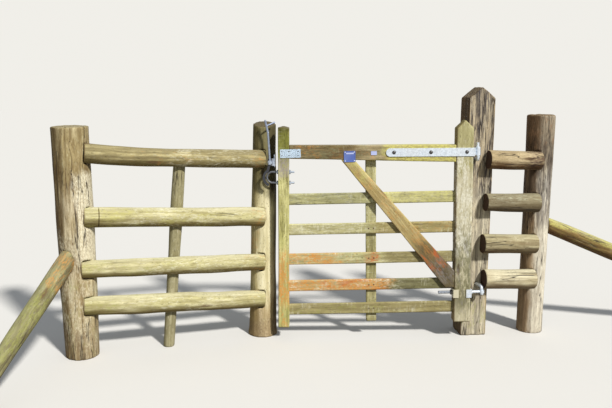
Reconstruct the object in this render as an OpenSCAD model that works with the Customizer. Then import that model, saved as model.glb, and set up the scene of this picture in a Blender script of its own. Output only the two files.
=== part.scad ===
// Self-closing timber hand gate between post-and-rail wing panels, in millimetres.
// The origin is the centre of the hinge post's foot. X runs right along the closed leaf,
// Y runs away from the viewer and Z is up. The leaf opens towards -Y.

/* [Hinge post] */
// Side of the square hinge post
hinge_post_w = 165; // [140:1:190]
// Height of the shoulders of its gabled top
hinge_post_shoulder_z = 1507; // [1420:1:1650]
// Rise of the gable above the shoulders
hinge_post_gable_h = 70; // [30:1:110]
// Turn of the post away from the row, anticlockwise from above
hinge_post_turn = 5; // [0:0.5:6]

/* [Latch post] */
// Gap from the latch post's foot to the closed leaf's edge, along the leaf
latch_gap = 35; // [25:1:60]
// Centre of the latch post in front of the hinge post's centre
latch_post_y = 30; // [10:1:50]
// Radius of the latch post at the ground
latch_post_foot_r = 87; // [80:1:95]
// Radius of the latch post at its top
latch_post_top_r = 70; // [66:1:80]
// Height of the front edge of its sloping top
latch_post_front_z = 1336; // [1280:1:1450]
// Slope of its top, up towards the back
latch_post_slope = 13; // [0:1:25]
// Lean of the latch post towards the leaf
latch_post_lean = 1; // [0:0.1:1.2]
// Swelling of its foot, on the radius
latch_post_flare = 9; // [0:1:15]
// Height over which the foot swells
latch_post_flare_h = 110; // [60:5:180]

/* [Left wing] */
// Centre to centre from the latch post to the left post
left_bay = 1116; // [1000:1:1400]
// Turn of the left wing towards the viewer
left_turn = 19.4; // [5:0.1:25]
// Radius of the left post at the ground
left_post_foot_r = 99; // [95:1:115]
// Radius of the left post at its top
left_post_top_r = 105; // [95:1:115]
// Height of the left post
left_post_h = 1362; // [1300:1:1550]
// Height of the half-round rails
left_rail_tall = 112; // [90:1:125]
// Depth of the half-round rails from flat back to front
left_rail_deep = 62; // [50:1:80]
// Distance from the line of the post centres to the rails' flat backs
left_rail_offset = 55; // [45:1:62]
// How far each rail runs past the latch post's centre towards the leaf
left_rail_past = [4, -5, -7, -10]; // [-20:1:20]
// Centre heights of the rails at the latch post, from the top rail down
left_rail_latch_z = [1139, 778, 491, 249]; // [150:1:1300]
// Centre heights of the rails at their left ends
left_rail_far_z = [1207, 844, 537, 319]; // [150:1:1300]
// How far each rail ends short of the left post's centre
left_rail_short = [66, 46, 17, 17]; // [0:1:72]

/* [Prick post] */
// Radius of the leaning stake behind the left rails
prick_r = 36; // [30:1:45]
// Distance of the stake's foot from the latch post's centre
prick_foot_x = 610; // [450:1:700]
// Lean of the stake towards the leaf
prick_lean = 5; // [0:0.5:10]
// Depth of its flats behind the rails
prick_flat = 5; // [2:1:10]

/* [Right wing] */
// Where the backs of the rails meet the hinge post's face, right of its centre line
right_seat_x = 44; // [35:1:60]
// From the right post's centre along the rails to that line
right_bay = 372; // [350:1:450]
// Turn of the right wing away from the viewer
right_turn = 8; // [0:0.1:15]
// Radius of the right post at the ground
right_post_foot_r = 82; // [78:1:95]
// Radius of the right post at its top
right_post_top_r = 84; // [80:1:95]
// Height of the right post
right_post_h = 1408; // [1340:1:1550]
// Height of the flat-backed log rails
right_rail_tall = 116; // [90:1:125]
// Depth of the log rails from flat back to front
right_rail_deep = 92; // [65:1:100]
// Distance from the right post's centre to the rails' flat backs
right_rail_offset = 55; // [45:1:62]
// Distance of the rails' right ends from the right post's centre
right_rail_short = 33; // [20:1:50]
// Centre heights of the rails at the hinge post, from the top rail down
right_rail_z = [1137, 873, 611, 383]; // [200:1:1300]
// How far each rail's left end runs past the line where its back meets the hinge post
right_rail_past = [0, 8, 16, -1]; // [-5:1:25]
// Drop of the rails' right ends
right_rail_drop = 12; // [0:1:30]

/* [Struts] */
// Radius of the left strut
left_strut_r = 51; // [40:1:60]
// Height of the left strut's axis at the post
left_strut_z = 600; // [450:1:850]
// Plan distance from the left post's centre to the strut's foot
left_strut_reach = 975; // [750:1:1350]
// Plan direction of the left strut, anticlockwise from +X
left_strut_turn = 252; // [240:0.5:285]
// Radius of the right strut at the post
right_strut_r = 48; // [38:1:55]
// Radius of the right strut at the ground
right_strut_foot_r = 58; // [45:1:65]
// Height of the right strut's axis at the post
right_strut_z = 702; // [450:1:850]
// Plan distance from the right post's centre to the strut's foot
right_strut_reach = 1795; // [1100:1:2100]
// Depth of the flats on the posts where the struts bear
strut_flat = 6; // [3:1:12]

/* [Leaf] */
// Thickness of the stiles and the top rail
leaf_t = 75; // [60:1:76]
// Gap between the leaf's back and the plane of half the hinge post's width
leaf_gap = 17; // [16:0.5:30]
// Width of the leaf over both stiles
leaf_w = 1189; // [1000:1:1200]
// Gap from the hinge post's centre line to the leaf's right edge, at the ground
leaf_inset = 34; // [30:1:45]
// Drop of the closing end in degrees
leaf_sag = 1.1; // [0:0.1:2]
// Width of the hanging stile
hanging_w = 103; // [80:1:120]
// Bottom of the hanging stile
hanging_foot_z = 122; // [77:1:167]
// Height of the hanging stile's shoulders
hanging_shoulder_z = 1334; // [1297:1:1447]
// Rise of its gabled top
hanging_gable_h = 49; // [20:1:70]
// Width of the closing stile
closing_w = 67; // [55:1:80]
// Bottom of the closing stile
closing_foot_z = 107; // [77:1:167]
// Top of the closing stile
closing_top_z = 1367; // [1307:1:1447]
// Lean of the closing stile against the leaf, top towards the hinges
closing_lean = 1.3; // [0:0.1:1.5]
// Height of the top rail at the hanging stile
top_rail_heel_h = 103; // [95:1:120]
// Height of the top rail at the closing stile
top_rail_toe_h = 79; // [60:1:95]
// Underside of the top rail at the hanging stile
top_rail_heel_z = 1132; // [1107:1:1147]
// Rise of the underside from the heel to the toe
top_rail_rise = 38; // [0:1:50]
// Height of each thin rail
rail_h = 70; // [55:1:80]
// Thickness of each thin rail
rail_t = 22; // [16:1:28]
// Underside of the lowest rail
rail_foot_z = 182; // [147:1:197]
// Clear gaps between the thin rails, from the top down
rail_gaps = [119, 118, 101, 83]; // [70:1:140]
// Depth of the rails' tenons in the stiles
tenon = 40; // [25:1:50]
// Shoulder of the top rail's tenon, above and below it
tenon_shoulder = 5; // [3:1:12]
// Width of the upright behind the rails
upright_w = 64; // [55:1:85]
// Thickness of that upright
upright_t = 22; // [16:1:26]
// Distance from the upright to the hanging stile
upright_from_hanging = 480; // [350:1:600]
// Bottom of the upright
upright_foot_z = 124; // [87:1:167]
// Thickness of the brace in front of the rails
brace_t = 24; // [18:1:30]
// Distance from the hanging stile to the brace's upper end
brace_reach = 614; // [500:1:700]
// Width of the brace along the top rail
brace_top_w = 81; // [60:1:100]
// Height of the brace's cut against the hanging stile
brace_heel_h = 108; // [80:1:130]
// Width of its level cut at the foot
brace_foot_w = 56; // [40:1:80]
// Height of that level cut
brace_foot_z = 347; // [338:1:377]

// Height of the plate over the top rail's closing joint
plate_h = 51; // [40:1:60]
// Reach of that plate over the closing stile
plate_on_stile = 42; // [30:1:50]
// Reach of that plate along the top rail
plate_on_rail = 82; // [50:1:100]
// Thickness of that plate
plate_t = 3; // [2:0.5:4]
// How far that plate lies below the middle of the rail
plate_drop = 7; // [0:1:10]

/* [Hinges] */
// Height of the top eye's middle above the top rail's underside
top_eye_rise = 59; // [45:1:65]
// Pin axis left of the hinge post's centre line, at the top eye
top_pin_x = 23; // [15:1:24]
// Height of the middle of the bottom eye
bottom_eye_z = 309; // [305:1:315]
// Pin axis right of the hinge post's centre line, at the bottom eye
bottom_pin_x = 38; // [20:1:39]
// Diameter of the hook pins
pin_d = 20; // [16:1:22]
// Clearance between a pin and its eye, on the diameter
pin_fit = 1; // [0.6:0.1:2]
// Wall of the eyes
eye_wall = 5; // [4:0.5:6]
// Width of the long strap
strap_h = 50; // [40:1:60]
// Thickness of the strap
strap_t = 6; // [4:0.5:6]
// Reach of the front strap past the leaf's right edge
strap_len = 502; // [400:1:700]
// Rise of the strap's tip against the leaf
strap_rise = 0.7; // [0:0.1:1]
// How far the top pin stands above its eye
top_pin_proud = 28; // [10:1:40]
// How far the bottom pin hangs below its eye
bottom_pin_proud = 10; // [5:1:20]
// Depth of the hooks' shanks in the post
shank_in = 110; // [80:1:140]
// Turn of the bottom hook's shank, in plan, against the square of the post
bottom_shank_turn = 20; // [0:1:30]
// Bend radius of the hooks
hook_bend = 16; // [14:1:20]
// Diameter of the bottom eye bolt
eye_bolt_d = 18; // [14:1:20]
// How far the eye bolt runs past the stile
eye_bolt_proud = 92; // [50:1:110]
// Height of the bottom eye
bottom_eye_h = 18; // [14:1:20]
// Width of the hex nuts on the eye bolt
eye_nut_w = 28; // [24:1:30]
// Thickness of those nuts
eye_nut_h = 12; // [8:1:14]
// Height of the stile's edge caps
cap_h = 52; // [40:1:52]
// Width of their flanges on the stile's faces
cap_flange = 28; // [20:1:40]
// Thickness of the caps
cap_t = 5; // [3:0.5:5]

/* [Latch] */
// Diameter of the loop's rod
loop_d = 12; // [8:1:12]
// Height of the loop's lower leg
loop_foot_z = 1022; // [1017:1:1032]
// Distance between the loop's legs
loop_h = 66; // [56:1:68]
// Reach of the loop past the closing stile
loop_reach = 74; // [60:1:76]
// How far the loop's legs run past the stile's other edge
loop_proud = 32; // [26:1:40]
// Height of the lever's pivot
pivot_z = 1125; // [1121:1:1137]
// Distance of the pivot right of the latch post's centre
pivot_x = 62; // [58:1:64]
// Thickness of the lever's hub
lever_t = 14; // [10:1:16]
// Diameter of the lever's pivot pin
pivot_d = 14; // [10:1:16]
// Clearance between the pivot pin and the lever, on the diameter
pivot_fit = 1; // [0.6:0.1:2]
// Diameter of the handle rod
handle_d = 12; // [10:1:14]
// Height of the handle's bend above the pivot
handle_bend_h = 177; // [120:1:220]
// Offset of the bend towards the latch post
handle_bend_x = 10; // [0:1:20]
// Height of the handle's top above the bend
handle_top_h = 72; // [40:1:90]
// Offset of the top from the bend
handle_top_x = 16; // [0:1:25]
// Length of the cross grip
grip_len = 60; // [40:1:70]
// Diameter of the cross grip
grip_d = 10; // [8:1:12]
// Distance of the grip below the handle's top
grip_down = 30; // [0:1:40]
// Turn of the grip away from the leaf's line
grip_turn = 30; // [0:5:35]
// Rise of the grip towards its free end
grip_rise = 20; // [0:5:40]
// Thickness of the lever's hook
hook_t = 12; // [8:1:12]
// Width of the hook
hook_w = 15; // [12:1:18]
// Clearance between the hook and the loop that it reaches round at rest
hook_clear = 4; // [4:0.5:6]
// Where the hook ends, anticlockwise round the loop's middle from +X
hook_tip_turn = 238; // [225:1:245]
// Width of the hex nuts on the loop
loop_nut_w = 22; // [18:1:24]
// Thickness of those nuts
loop_nut_h = 9; // [6:1:10]
// Thickness of the bracket plate
bracket_t = 6; // [5:0.5:8]
// Height of the bracket plate
bracket_h = 74; // [50:1:84]
// Height of its middle above the pivot
bracket_raise = 8; // [0:1:20]
// Height of the tab that carries the pivot
tab_h = 44; // [34:1:48]
// Depth of the flat on the latch post under the plate
bracket_flat = 7; // [5:1:12]

/* [Hidden] */
$fn = 64;
clear = 6;
top_eye_z = top_rail_heel_z + top_eye_rise;
seat_gap = 0.3;
// How far a cut runs past what it cuts
over = 1;
// Play between a hook's bend and the eye that rests over it
eye_rest = 1;
// Degrees between the points of an arc
arc_step = 6;
// Extra diameter of the beads at bends and welds
weld = 1;
pin_y = -hinge_post_w / 2 - leaf_gap - leaf_t / 2;
leaf_front = pin_y - leaf_t / 2;
leaf_back = pin_y + leaf_t / 2;
brace_back = leaf_front + brace_t;
rail_back = brace_back + rail_t;
latch_post_x = leaf_inset + leaf_w + latch_gap + latch_post_foot_r;
sag_slope = tan(leaf_sag);
pin_lean = atan((top_pin_x + bottom_pin_x) / (top_eye_z - bottom_eye_z));
hanging_left = -leaf_inset - hanging_w;
closing_right = -leaf_inset - leaf_w + closing_w;
closing_left = -leaf_inset - leaf_w;
inner_w = hanging_left - closing_right;
rail_zs = [for (i = [0:4]) rail_foot_z + (4 - i) * rail_h + gap_sum(i)];
left_post_y = -latch_post_y - left_bay * sin(left_turn);
left_post_x = -latch_post_x - left_bay * cos(left_turn);
right_post_x = right_seat_x + right_bay * cos(right_turn) - right_rail_offset * sin(right_turn);
right_post_y = hinge_face_y(right_seat_x) + right_bay * sin(right_turn) + right_rail_offset * cos(right_turn);
pin_bore = pin_d + pin_fit;
eye_r = pin_bore / 2 + eye_wall;
eye_bolt_z = bottom_eye_z - bottom_pin_x * sag_slope;
lever_front = pin_y - loop_d / 2 - clear - lever_t;
lever_gap = 1;
hook_root_turn = 122;
pivot_nut_w = 24;
pivot_nut_h = 8;
pivot_end = 3;
band_play = 0.4;
link_in = 16;
link_h = strap_h - 6;

// Y of the hinge post's turned front face at x
function hinge_face_y(x) = x * tan(hinge_post_turn) - hinge_post_w / 2 / cos(hinge_post_turn);
// Sum of the gaps below thin rail i, where 0 is the highest
function gap_sum(i) = i >= len(rail_gaps) ? 0 : rail_gaps[i] + gap_sum(i + 1);
// Underside of the top rail at x, in the leaf's own frame
function under_top_rail(x) = top_rail_heel_z + top_rail_rise * (hanging_left - x) / inner_w;
// Radius of the latch post at a height
function latch_post_r(z) = latch_post_foot_r + (latch_post_top_r - latch_post_foot_r) * z / latch_post_h();
function latch_post_h() = latch_post_front_z + 2 * latch_post_top_r * tan(latch_post_slope);

// Frames: each places its children in the frame of one assembly
module leaf_frame() {
    rotate([0, -leaf_sag, 0])
        children();
}

module closing_frame() {
    leaf_frame()
        translate([closing_left, 0, closing_top_z / 2])
            rotate([0, closing_lean, 0])
                translate([-closing_left, 0, -closing_top_z / 2])
                    children();
}

module pin_frame(x, z) {
    translate([x, pin_y, z])
        rotate([0, -pin_lean, 0])
            children();
}

// The wing frames have X from the right end to the left and Y towards the viewer
module left_wing_frame() {
    translate([-latch_post_x, -latch_post_y, 0])
        rotate([0, 0, 180 + left_turn])
            children();
}

module right_wing_frame() {
    translate([right_post_x, right_post_y, 0])
        rotate([0, 0, 180 + right_turn])
            children();
}

// Basic shapes
module box(from, to) {
    translate(from)
        cube(to - from);
}

// A profile drawn in X and Z, extruded from y0 back to y1
module profile_y(y0, y1) {
    translate([0, y1, 0])
        rotate([90, 0, 0])
            linear_extrude(y1 - y0)
                children();
}

// A log along +X with its flat back on y = 0 and its round front towards +Y
module flat_backed_log(length, tall, deep) {
    rotate([90, 0, 90])
        linear_extrude(length)
            intersection() {
                translate([deep - tall / 2, 0])
                    circle(d = tall);
                translate([0, -tall / 2])
                    square([deep, tall]);
            }
}

// A round bar between two points, with its ends square
module rod(from, to, d) {
    v = to - from;
    flat = norm([v.x, v.y]);
    translate(from)
        rotate([0, atan2(flat, v.z), atan2(v.y, v.x)])
            cylinder(h = norm(v), d = d);
}

module hex_nut(af, h, bore) {
    linear_extrude(h)
        difference() {
            circle(d = af / cos(30), $fn = 6);
            circle(d = bore);
        }
}

// Posts
module post_with_gable(w, shoulder, gable, y0, y1) {
    profile_y(y0, y1)
        polygon([
            [-w / 2, 0], [w / 2, 0], [w / 2, shoulder], [0, shoulder + gable], [-w / 2, shoulder],
        ]);
}

module hinge_post() {
    color("tan")
        difference() {
            rotate([0, 0, hinge_post_turn])
                post_with_gable(hinge_post_w, hinge_post_shoulder_z, hinge_post_gable_h,
                    -hinge_post_w / 2, hinge_post_w / 2);
            right_rail_seats();
            hook_shank(-top_pin_x, top_shank_z(), top_eye_z, 1, 0, seat_gap);
            hook_shank(bottom_pin_x, bottom_shank_z(), bottom_eye_z, -1, bottom_shank_turn, seat_gap);
        }
}

module right_rail_seats() {
    for (i = [0:3])
        right_rail_place(i)
            translate([0, 0, -right_rail_tall / 2 - over])
                cube([right_rail_length(i) + over, 2 * right_rail_deep, right_rail_tall + 2 * over]);
}

module latch_post() {
    color("darkkhaki")
        difference() {
            translate([-latch_post_x, -latch_post_y, 0])
                difference() {
                    rotate([0, latch_post_lean, 0])
                        latch_post_trunk();
                    translate([-latch_post_foot_r, -latch_post_top_r, latch_post_front_z])
                        rotate([latch_post_slope, 0, 0])
                            cube([3 * latch_post_foot_r, 4 * latch_post_foot_r, latch_post_h()]);
                    translate([-2 * latch_post_foot_r, -2 * latch_post_foot_r, -4 * latch_post_foot_r])
                        cube(4 * latch_post_foot_r);
                }
            left_rail_seats(2 * left_rail_tall);
            bracket_seat();
        }
}

// The tapering trunk with its swollen foot, run on below the ground
module latch_post_trunk() {
    below = -latch_post_foot_r;
    rotate_extrude()
        polygon([
            [0, below], [latch_post_r(below) + latch_post_flare, below],
            [latch_post_r(0) + latch_post_flare, 0],
            [latch_post_r(latch_post_flare_h / 3) + latch_post_flare / 3, latch_post_flare_h / 3],
            [latch_post_r(latch_post_flare_h), latch_post_flare_h],
            [latch_post_top_r, latch_post_h()], [0, latch_post_h()],
        ]);
}

// Flats for the left rails, each as long as its rail, in a post that is at most this deep
module left_rail_seats(deep) {
    for (i = [0:3])
        left_rail_place(i)
            translate([-over, 0, -left_rail_tall / 2 - over])
                cube([left_rail_length(i) + 2 * over, deep, left_rail_tall + 2 * over]);
}

module left_post() {
    color("darkkhaki")
        difference() {
            translate([left_post_x, left_post_y, 0])
                cylinder(h = left_post_h, r1 = left_post_foot_r, r2 = left_post_top_r);
            left_rail_seats(2 * left_rail_tall);
            left_strut_seat();
        }
}

module right_post() {
    color("tan")
        difference() {
            translate([right_post_x, right_post_y, 0])
                cylinder(h = right_post_h, r1 = right_post_foot_r, r2 = right_post_top_r);
            for (i = [0:3])
                right_rail_place(i)
                    translate([-over, 0, -right_rail_tall / 2 - over])
                        cube([right_rail_length(i), 2 * right_rail_tall, right_rail_tall + 2 * over]);
            right_strut_seat();
        }
}

module prick_post() {
    prick_h = left_rail_latch_z[0] + (left_rail_far_z[0] - left_rail_latch_z[0]) / 2;
    color("darkkhaki")
        difference() {
            left_wing_frame()
                intersection() {
                    translate([prick_foot_x, left_rail_offset - prick_r + prick_flat, 0])
                        rotate([0, -prick_lean, 0])
                            translate([0, 0, -prick_h / 4])
                                cylinder(h = 2 * prick_h, r = prick_r);
                    translate([0, -4 * prick_r, 0])
                        cube([left_bay, 8 * prick_r, prick_h]);
                }
            left_rail_seats(2 * prick_r);
        }
}

// Wing rails
function left_rail_length(i) = left_bay - left_rail_short[i] + left_rail_past[i];
function right_rail_length(i) = right_bay + right_rail_past[i] - right_rail_short;

module left_rail_place(i) {
    rise = left_rail_far_z[i] - left_rail_latch_z[i];
    left_wing_frame()
        translate([-left_rail_past[i], left_rail_offset, left_rail_latch_z[i]])
            rotate([0, -atan(rise / left_rail_length(i)), 0])
                children();
}

module right_rail_place(i) {
    right_wing_frame()
        translate([right_rail_short, right_rail_offset, right_rail_z[i] - right_rail_drop])
            rotate([0, -atan(right_rail_drop / right_rail_length(i)), 0])
                children();
}

module left_rail(i) {
    color("khaki")
        left_rail_place(i)
            flat_backed_log(left_rail_length(i), left_rail_tall, left_rail_deep);
}

module right_rail(i) {
    color("khaki")
        right_rail_place(i)
            flat_backed_log(right_rail_length(i), right_rail_tall, right_rail_deep);
}

// Struts: a strut's frame has X away from its post and its upper end cut upright
module left_strut_frame() {
    translate([left_post_x, left_post_y, 0])
        rotate([0, 0, left_strut_turn])
            children();
}

module right_strut_frame() {
    translate([right_post_x, right_post_y, 0])
        children();
}

function left_strut_start() = left_post_foot_r - strut_flat;
function right_strut_start() = right_post_foot_r - strut_flat;

module strut_body(start, reach, z, r_top, r_foot) {
    fall = atan(z / (reach - start));
    length = norm([reach - start, z]);
    spare = 3 * r_foot;
    intersection() {
        translate([start, 0, z])
            rotate([0, 90 + fall, 0])
                rotate([0, 0, 180])
                    translate([0, 0, -spare])
                        cylinder(h = length + 2 * spare, r1 = r_top - (r_foot - r_top) * spare / length,
                            r2 = r_foot + (r_foot - r_top) * spare / length);
        translate([start, -2 * r_foot, 0])
            cube([2 * reach, 4 * r_foot, 2 * z]);
    }
}

module strut_seat(start, z, r, fall) {
    below = 3 * strut_flat * tan(fall);
    translate([start, -r - over, z - r / cos(fall) - below])
        cube([2 * r, 2 * (r + over), 2 * r / cos(fall) + below + over]);
}

module left_strut_seat() {
    left_strut_frame()
        strut_seat(left_strut_start(), left_strut_z, left_strut_r,
            atan(left_strut_z / (left_strut_reach - left_strut_start())));
}

module right_strut_seat() {
    right_strut_frame()
        strut_seat(right_strut_start(), right_strut_z, right_strut_r,
            atan(right_strut_z / (right_strut_reach - right_strut_start())));
}

module left_strut() {
    color("darkkhaki")
        left_strut_frame()
            strut_body(left_strut_start(), left_strut_reach, left_strut_z, left_strut_r, left_strut_r);
}

module right_strut() {
    color("tan")
        right_strut_frame()
            strut_body(right_strut_start(), right_strut_reach, right_strut_z, right_strut_r,
                right_strut_foot_r);
}

// Leaf
module hanging_stile() {
    color("khaki")
        leaf_frame()
            difference() {
                translate([-leaf_inset - hanging_w / 2, 0, hanging_foot_z])
                    post_with_gable(hanging_w, hanging_shoulder_z - hanging_foot_z, hanging_gable_h,
                        leaf_front, leaf_back);
                for (i = [0:4])
                    thin_rail_body(i);
                translate([hanging_left - over, pin_y, eye_bolt_z])
                    rotate([0, 90, 0])
                        cylinder(h = hanging_w + 2 * over, d = eye_bolt_d + 2 * seat_gap);
            }
}

module closing_stile() {
    color("darkkhaki")
        difference() {
            closing_frame()
                difference() {
                    box([closing_left, leaf_front, closing_foot_z],
                        [closing_right, leaf_back, closing_top_z]);
                    for (z = [loop_foot_z, loop_foot_z + loop_h])
                        translate([closing_left - over, pin_y, z])
                            rotate([0, 90, 0])
                                cylinder(h = closing_w + 2 * over, d = loop_d + 2 * seat_gap);
                }
            leaf_frame() {
                for (i = [0:4])
                    thin_rail_body(i);
                top_rail_tenon();
            }
        }
}

// The top rail is let into the closing stile, so its toe runs on as a tenon
module top_rail_tenon() {
    heel_x = closing_right + tenon;
    toe_x = closing_right - tenon;
    profile_y(leaf_front + brace_t / 2, leaf_back - brace_t / 2)
        polygon([
            [heel_x, under_top_rail(heel_x) + tenon_shoulder],
            [heel_x, under_top_rail(heel_x) + top_rail_toe_h - tenon_shoulder],
            [toe_x, under_top_rail(toe_x) + top_rail_toe_h - tenon_shoulder],
            [toe_x, under_top_rail(toe_x) + tenon_shoulder],
        ]);
}

module top_rail() {
    toe_x = closing_right - closing_w / 2;
    color("darkkhaki")
        union() {
            difference() {
                leaf_frame()
                    profile_y(leaf_front, leaf_back)
                        polygon([
                            [hanging_left, top_rail_heel_z],
                            [hanging_left, top_rail_heel_z + top_rail_heel_h],
                            [toe_x, under_top_rail(toe_x) + top_rail_toe_h],
                            [toe_x, under_top_rail(toe_x)],
                        ]);
                closing_frame()
                    box([closing_left - closing_w, leaf_front - over, 0],
                        [closing_right, leaf_back + over, 2 * closing_top_z]);
            }
            leaf_frame()
                top_rail_tenon();
        }
}

module thin_rail_body(i) {
    box([closing_right - tenon, brace_back, rail_zs[i]],
        [hanging_left + tenon, rail_back, rail_zs[i] + rail_h]);
}

module thin_rail(i) {
    color("khaki")
        leaf_frame()
            thin_rail_body(i);
}

module middle_upright() {
    right = hanging_left - upright_from_hanging;
    left = right - upright_w;
    color("khaki")
        leaf_frame()
            profile_y(rail_back, rail_back + upright_t)
                polygon([
                    [left, upright_foot_z], [right, upright_foot_z],
                    [right, under_top_rail(right)], [left, under_top_rail(left)],
                ]);
}

module brace() {
    top_right = hanging_left - brace_reach;
    top_left = top_right - brace_top_w;
    color("burlywood")
        leaf_frame()
            profile_y(leaf_front, brace_back)
                polygon([
                    [top_left, under_top_rail(top_left)], [top_right, under_top_rail(top_right)],
                    [hanging_left, brace_foot_z + brace_heel_h], [hanging_left, brace_foot_z],
                    [hanging_left - brace_foot_w, brace_foot_z],
                ]);
}

// A flat plate over the joint of the top rail and the closing stile
module mending_plate() {
    mid_z = under_top_rail(closing_right) + top_rail_toe_h / 2 - plate_drop;
    color("silver")
        leaf_frame()
            box([closing_right - plate_on_stile, leaf_front - plate_t, mid_z - plate_h / 2],
                [closing_right + plate_on_rail, leaf_front, mid_z + plate_h / 2]);
}

// Hinges
function top_shank_z() = top_eye_z - strap_h / 2 - eye_rest - hook_bend - pin_d / 2;
function bottom_shank_z() = bottom_eye_z + bottom_eye_h / 2 + eye_rest + hook_bend + pin_d / 2;

// X of the hinge axis at a height, from an eye at x and eye_z
function axis_x(x, eye_z, z) = x - (z - eye_z) * tan(pin_lean);

// A hook's frame stands at the pin's end of its bend, turned with the shank
module hook_frame(x, shank_z, eye_z, up, turn) {
    translate([axis_x(x, eye_z, shank_z + up * hook_bend), pin_y, shank_z])
        rotate([0, 0, turn])
            children();
}

// The shank of a hook, or with extra the bore that it fills
module hook_shank(x, shank_z, eye_z, up, turn, extra) {
    to_face = (hinge_face_y(x) - pin_y) / cos(turn);
    hook_frame(x, shank_z, eye_z, up, turn)
        translate([0, hook_bend, 0])
            rotate([-90, 0, 0])
                cylinder(h = to_face - hook_bend + shank_in + extra, d = pin_d + 2 * extra);
}

// A hook of round bar: a shank into the post, a bend and a pin; up is 1 or -1
module hook(x, shank_z, eye_z, up, turn, pin_len) {
    to_bend = abs(shank_z + up * hook_bend - eye_z) / cos(pin_lean);
    hook_shank(x, shank_z, eye_z, up, turn, 0);
    hook_frame(x, shank_z, eye_z, up, turn)
        translate([0, 0, up * hook_bend]) {
            translate([0, hook_bend, 0])
                rotate([0, -90, 0])
                    rotate([0, 0, up > 0 ? 180 : 270])
                        rotate_extrude(angle = 90)
                            translate([hook_bend, 0])
                                circle(d = pin_d);
            sphere(d = pin_d + weld);
        }
    pin_frame(x, eye_z)
        mirror([0, 0, up > 0 ? 0 : 1])
            translate([0, 0, -to_bend])
                cylinder(h = to_bend + pin_len, d = pin_d);
}

module top_hook() {
    color("silver")
        hook(-top_pin_x, top_shank_z(), top_eye_z, 1, 0, strap_h / 2 + top_pin_proud);
}

module bottom_hook() {
    color("silver")
        hook(bottom_pin_x, bottom_shank_z(), bottom_eye_z, -1, bottom_shank_turn,
            bottom_eye_h / 2 + bottom_pin_proud);
}

// The band's frame has the stile's right edge at x = 0, turned with the strap
module band_frame() {
    leaf_frame()
        translate([-leaf_inset, 0, top_eye_z + top_pin_x * sag_slope])
            rotate([0, strap_rise, 0])
                children();
}

module strap(y0, y1, length) {
    profile_y(y0, y1)
        union() {
            translate([-length, -strap_h / 2])
                square([length + band_play, strap_h]);
            translate([-length, 0])
                circle(d = strap_h);
        }
}

// A strap on each face of the stile, joined round its edge, with the eye on a link
module top_hinge_band() {
    color("silver")
        difference() {
            union() {
                band_frame() {
                    strap(leaf_front - strap_t, leaf_front, strap_len);
                    strap(leaf_back, leaf_back + strap_t, strap_len / 2);
                    box([band_play, leaf_front - strap_t, -strap_h / 2],
                        [band_play + strap_t, leaf_back + strap_t, strap_h / 2]);
                }
                translate([-top_pin_x - eye_r - link_in, pin_y - strap_t, top_eye_z - link_h / 2])
                    cube([eye_r + link_in, 2 * strap_t, link_h]);
                pin_frame(-top_pin_x, top_eye_z)
                    cylinder(h = strap_h, r = eye_r, center = true);
            }
            pin_frame(-top_pin_x, top_eye_z)
                cylinder(h = 4 * strap_h, d = pin_bore, center = true);
        }
}

module bottom_eye_bolt() {
    color("silver")
        difference() {
            union() {
                leaf_frame()
                    translate([0, pin_y, eye_bolt_z]) {
                        rod([hanging_left - eye_bolt_proud, 0, 0], [bottom_pin_x, 0, 0], eye_bolt_d);
                        for (x = [hanging_left - cap_t - eye_nut_h, -leaf_inset + cap_t])
                            translate([x, 0, 0])
                                rotate([0, 90, 0])
                                    hex_nut(eye_nut_w, eye_nut_h, eye_bolt_d / 2);
                    }
                pin_frame(bottom_pin_x, bottom_eye_z)
                    cylinder(h = bottom_eye_h, r = eye_r, center = true);
            }
            pin_frame(bottom_pin_x, bottom_eye_z)
                cylinder(h = 4 * bottom_eye_h, d = pin_bore, center = true);
        }
}

// Two channel-shaped caps under the eye bolt's nuts, one on each edge of the stile
module edge_caps() {
    color("silver")
        leaf_frame()
            difference() {
                for (edge = [hanging_left, -leaf_inset])
                    translate([edge, 0, eye_bolt_z]) {
                        out = edge == hanging_left ? -cap_t : -cap_flange;
                        box([out, leaf_front - cap_t, -cap_h / 2],
                            [out + cap_flange + cap_t, leaf_back + cap_t, cap_h / 2]);
                    }
                box([hanging_left, leaf_front, 0], [-leaf_inset, leaf_back, 2 * eye_bolt_z]);
                translate([hanging_left - 2 * cap_t, pin_y, eye_bolt_z])
                    rotate([0, 90, 0])
                        cylinder(h = hanging_w + 4 * cap_t, d = eye_bolt_d + 2 * seat_gap);
            }
}

// Latch
module latch_loop() {
    bend_r = loop_h / 2;
    bend_x = loop_bend_x();
    color("dimgray")
        closing_frame()
            translate([0, pin_y, loop_foot_z]) {
                translate([bend_x, 0, bend_r])
                    rotate([90, -90, 0])
                        rotate_extrude(angle = 180)
                            translate([bend_r, 0])
                                circle(d = loop_d);
                for (z = [0, loop_h]) {
                    rod([bend_x, 0, z], [closing_right + loop_proud, 0, z], loop_d);
                    for (x = [closing_left - loop_nut_h, closing_right])
                        translate([x, 0, z])
                            rotate([0, 90, 0])
                                hex_nut(loop_nut_w, loop_nut_h, loop_d / 2);
                }
            }
}

// X of the middle of the loop's bend, in the closing stile's frame
function loop_bend_x() = closing_left - loop_reach + loop_d / 2 + loop_h / 2;
// A point [x, z] turned about Y, as rotate([0, a, 0]) does
function turned(p, a) = [p[0] * cos(a) + p[1] * sin(a), p[1] * cos(a) - p[0] * sin(a)];
// The middle of the loop's bend in the row's frame, as [x, z]
function loop_middle() = turned(
    [closing_left, closing_top_z / 2]
        + turned([loop_bend_x() - closing_left, loop_foot_z + loop_h / 2 - closing_top_z / 2], closing_lean),
    -leaf_sag);
// The same from the lever's pivot
function loop_from_pivot() = loop_middle() - [pivot_x - latch_post_x, pivot_z];

module pivot_frame() {
    translate([pivot_x - latch_post_x, 0, pivot_z])
        children();
}

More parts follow.
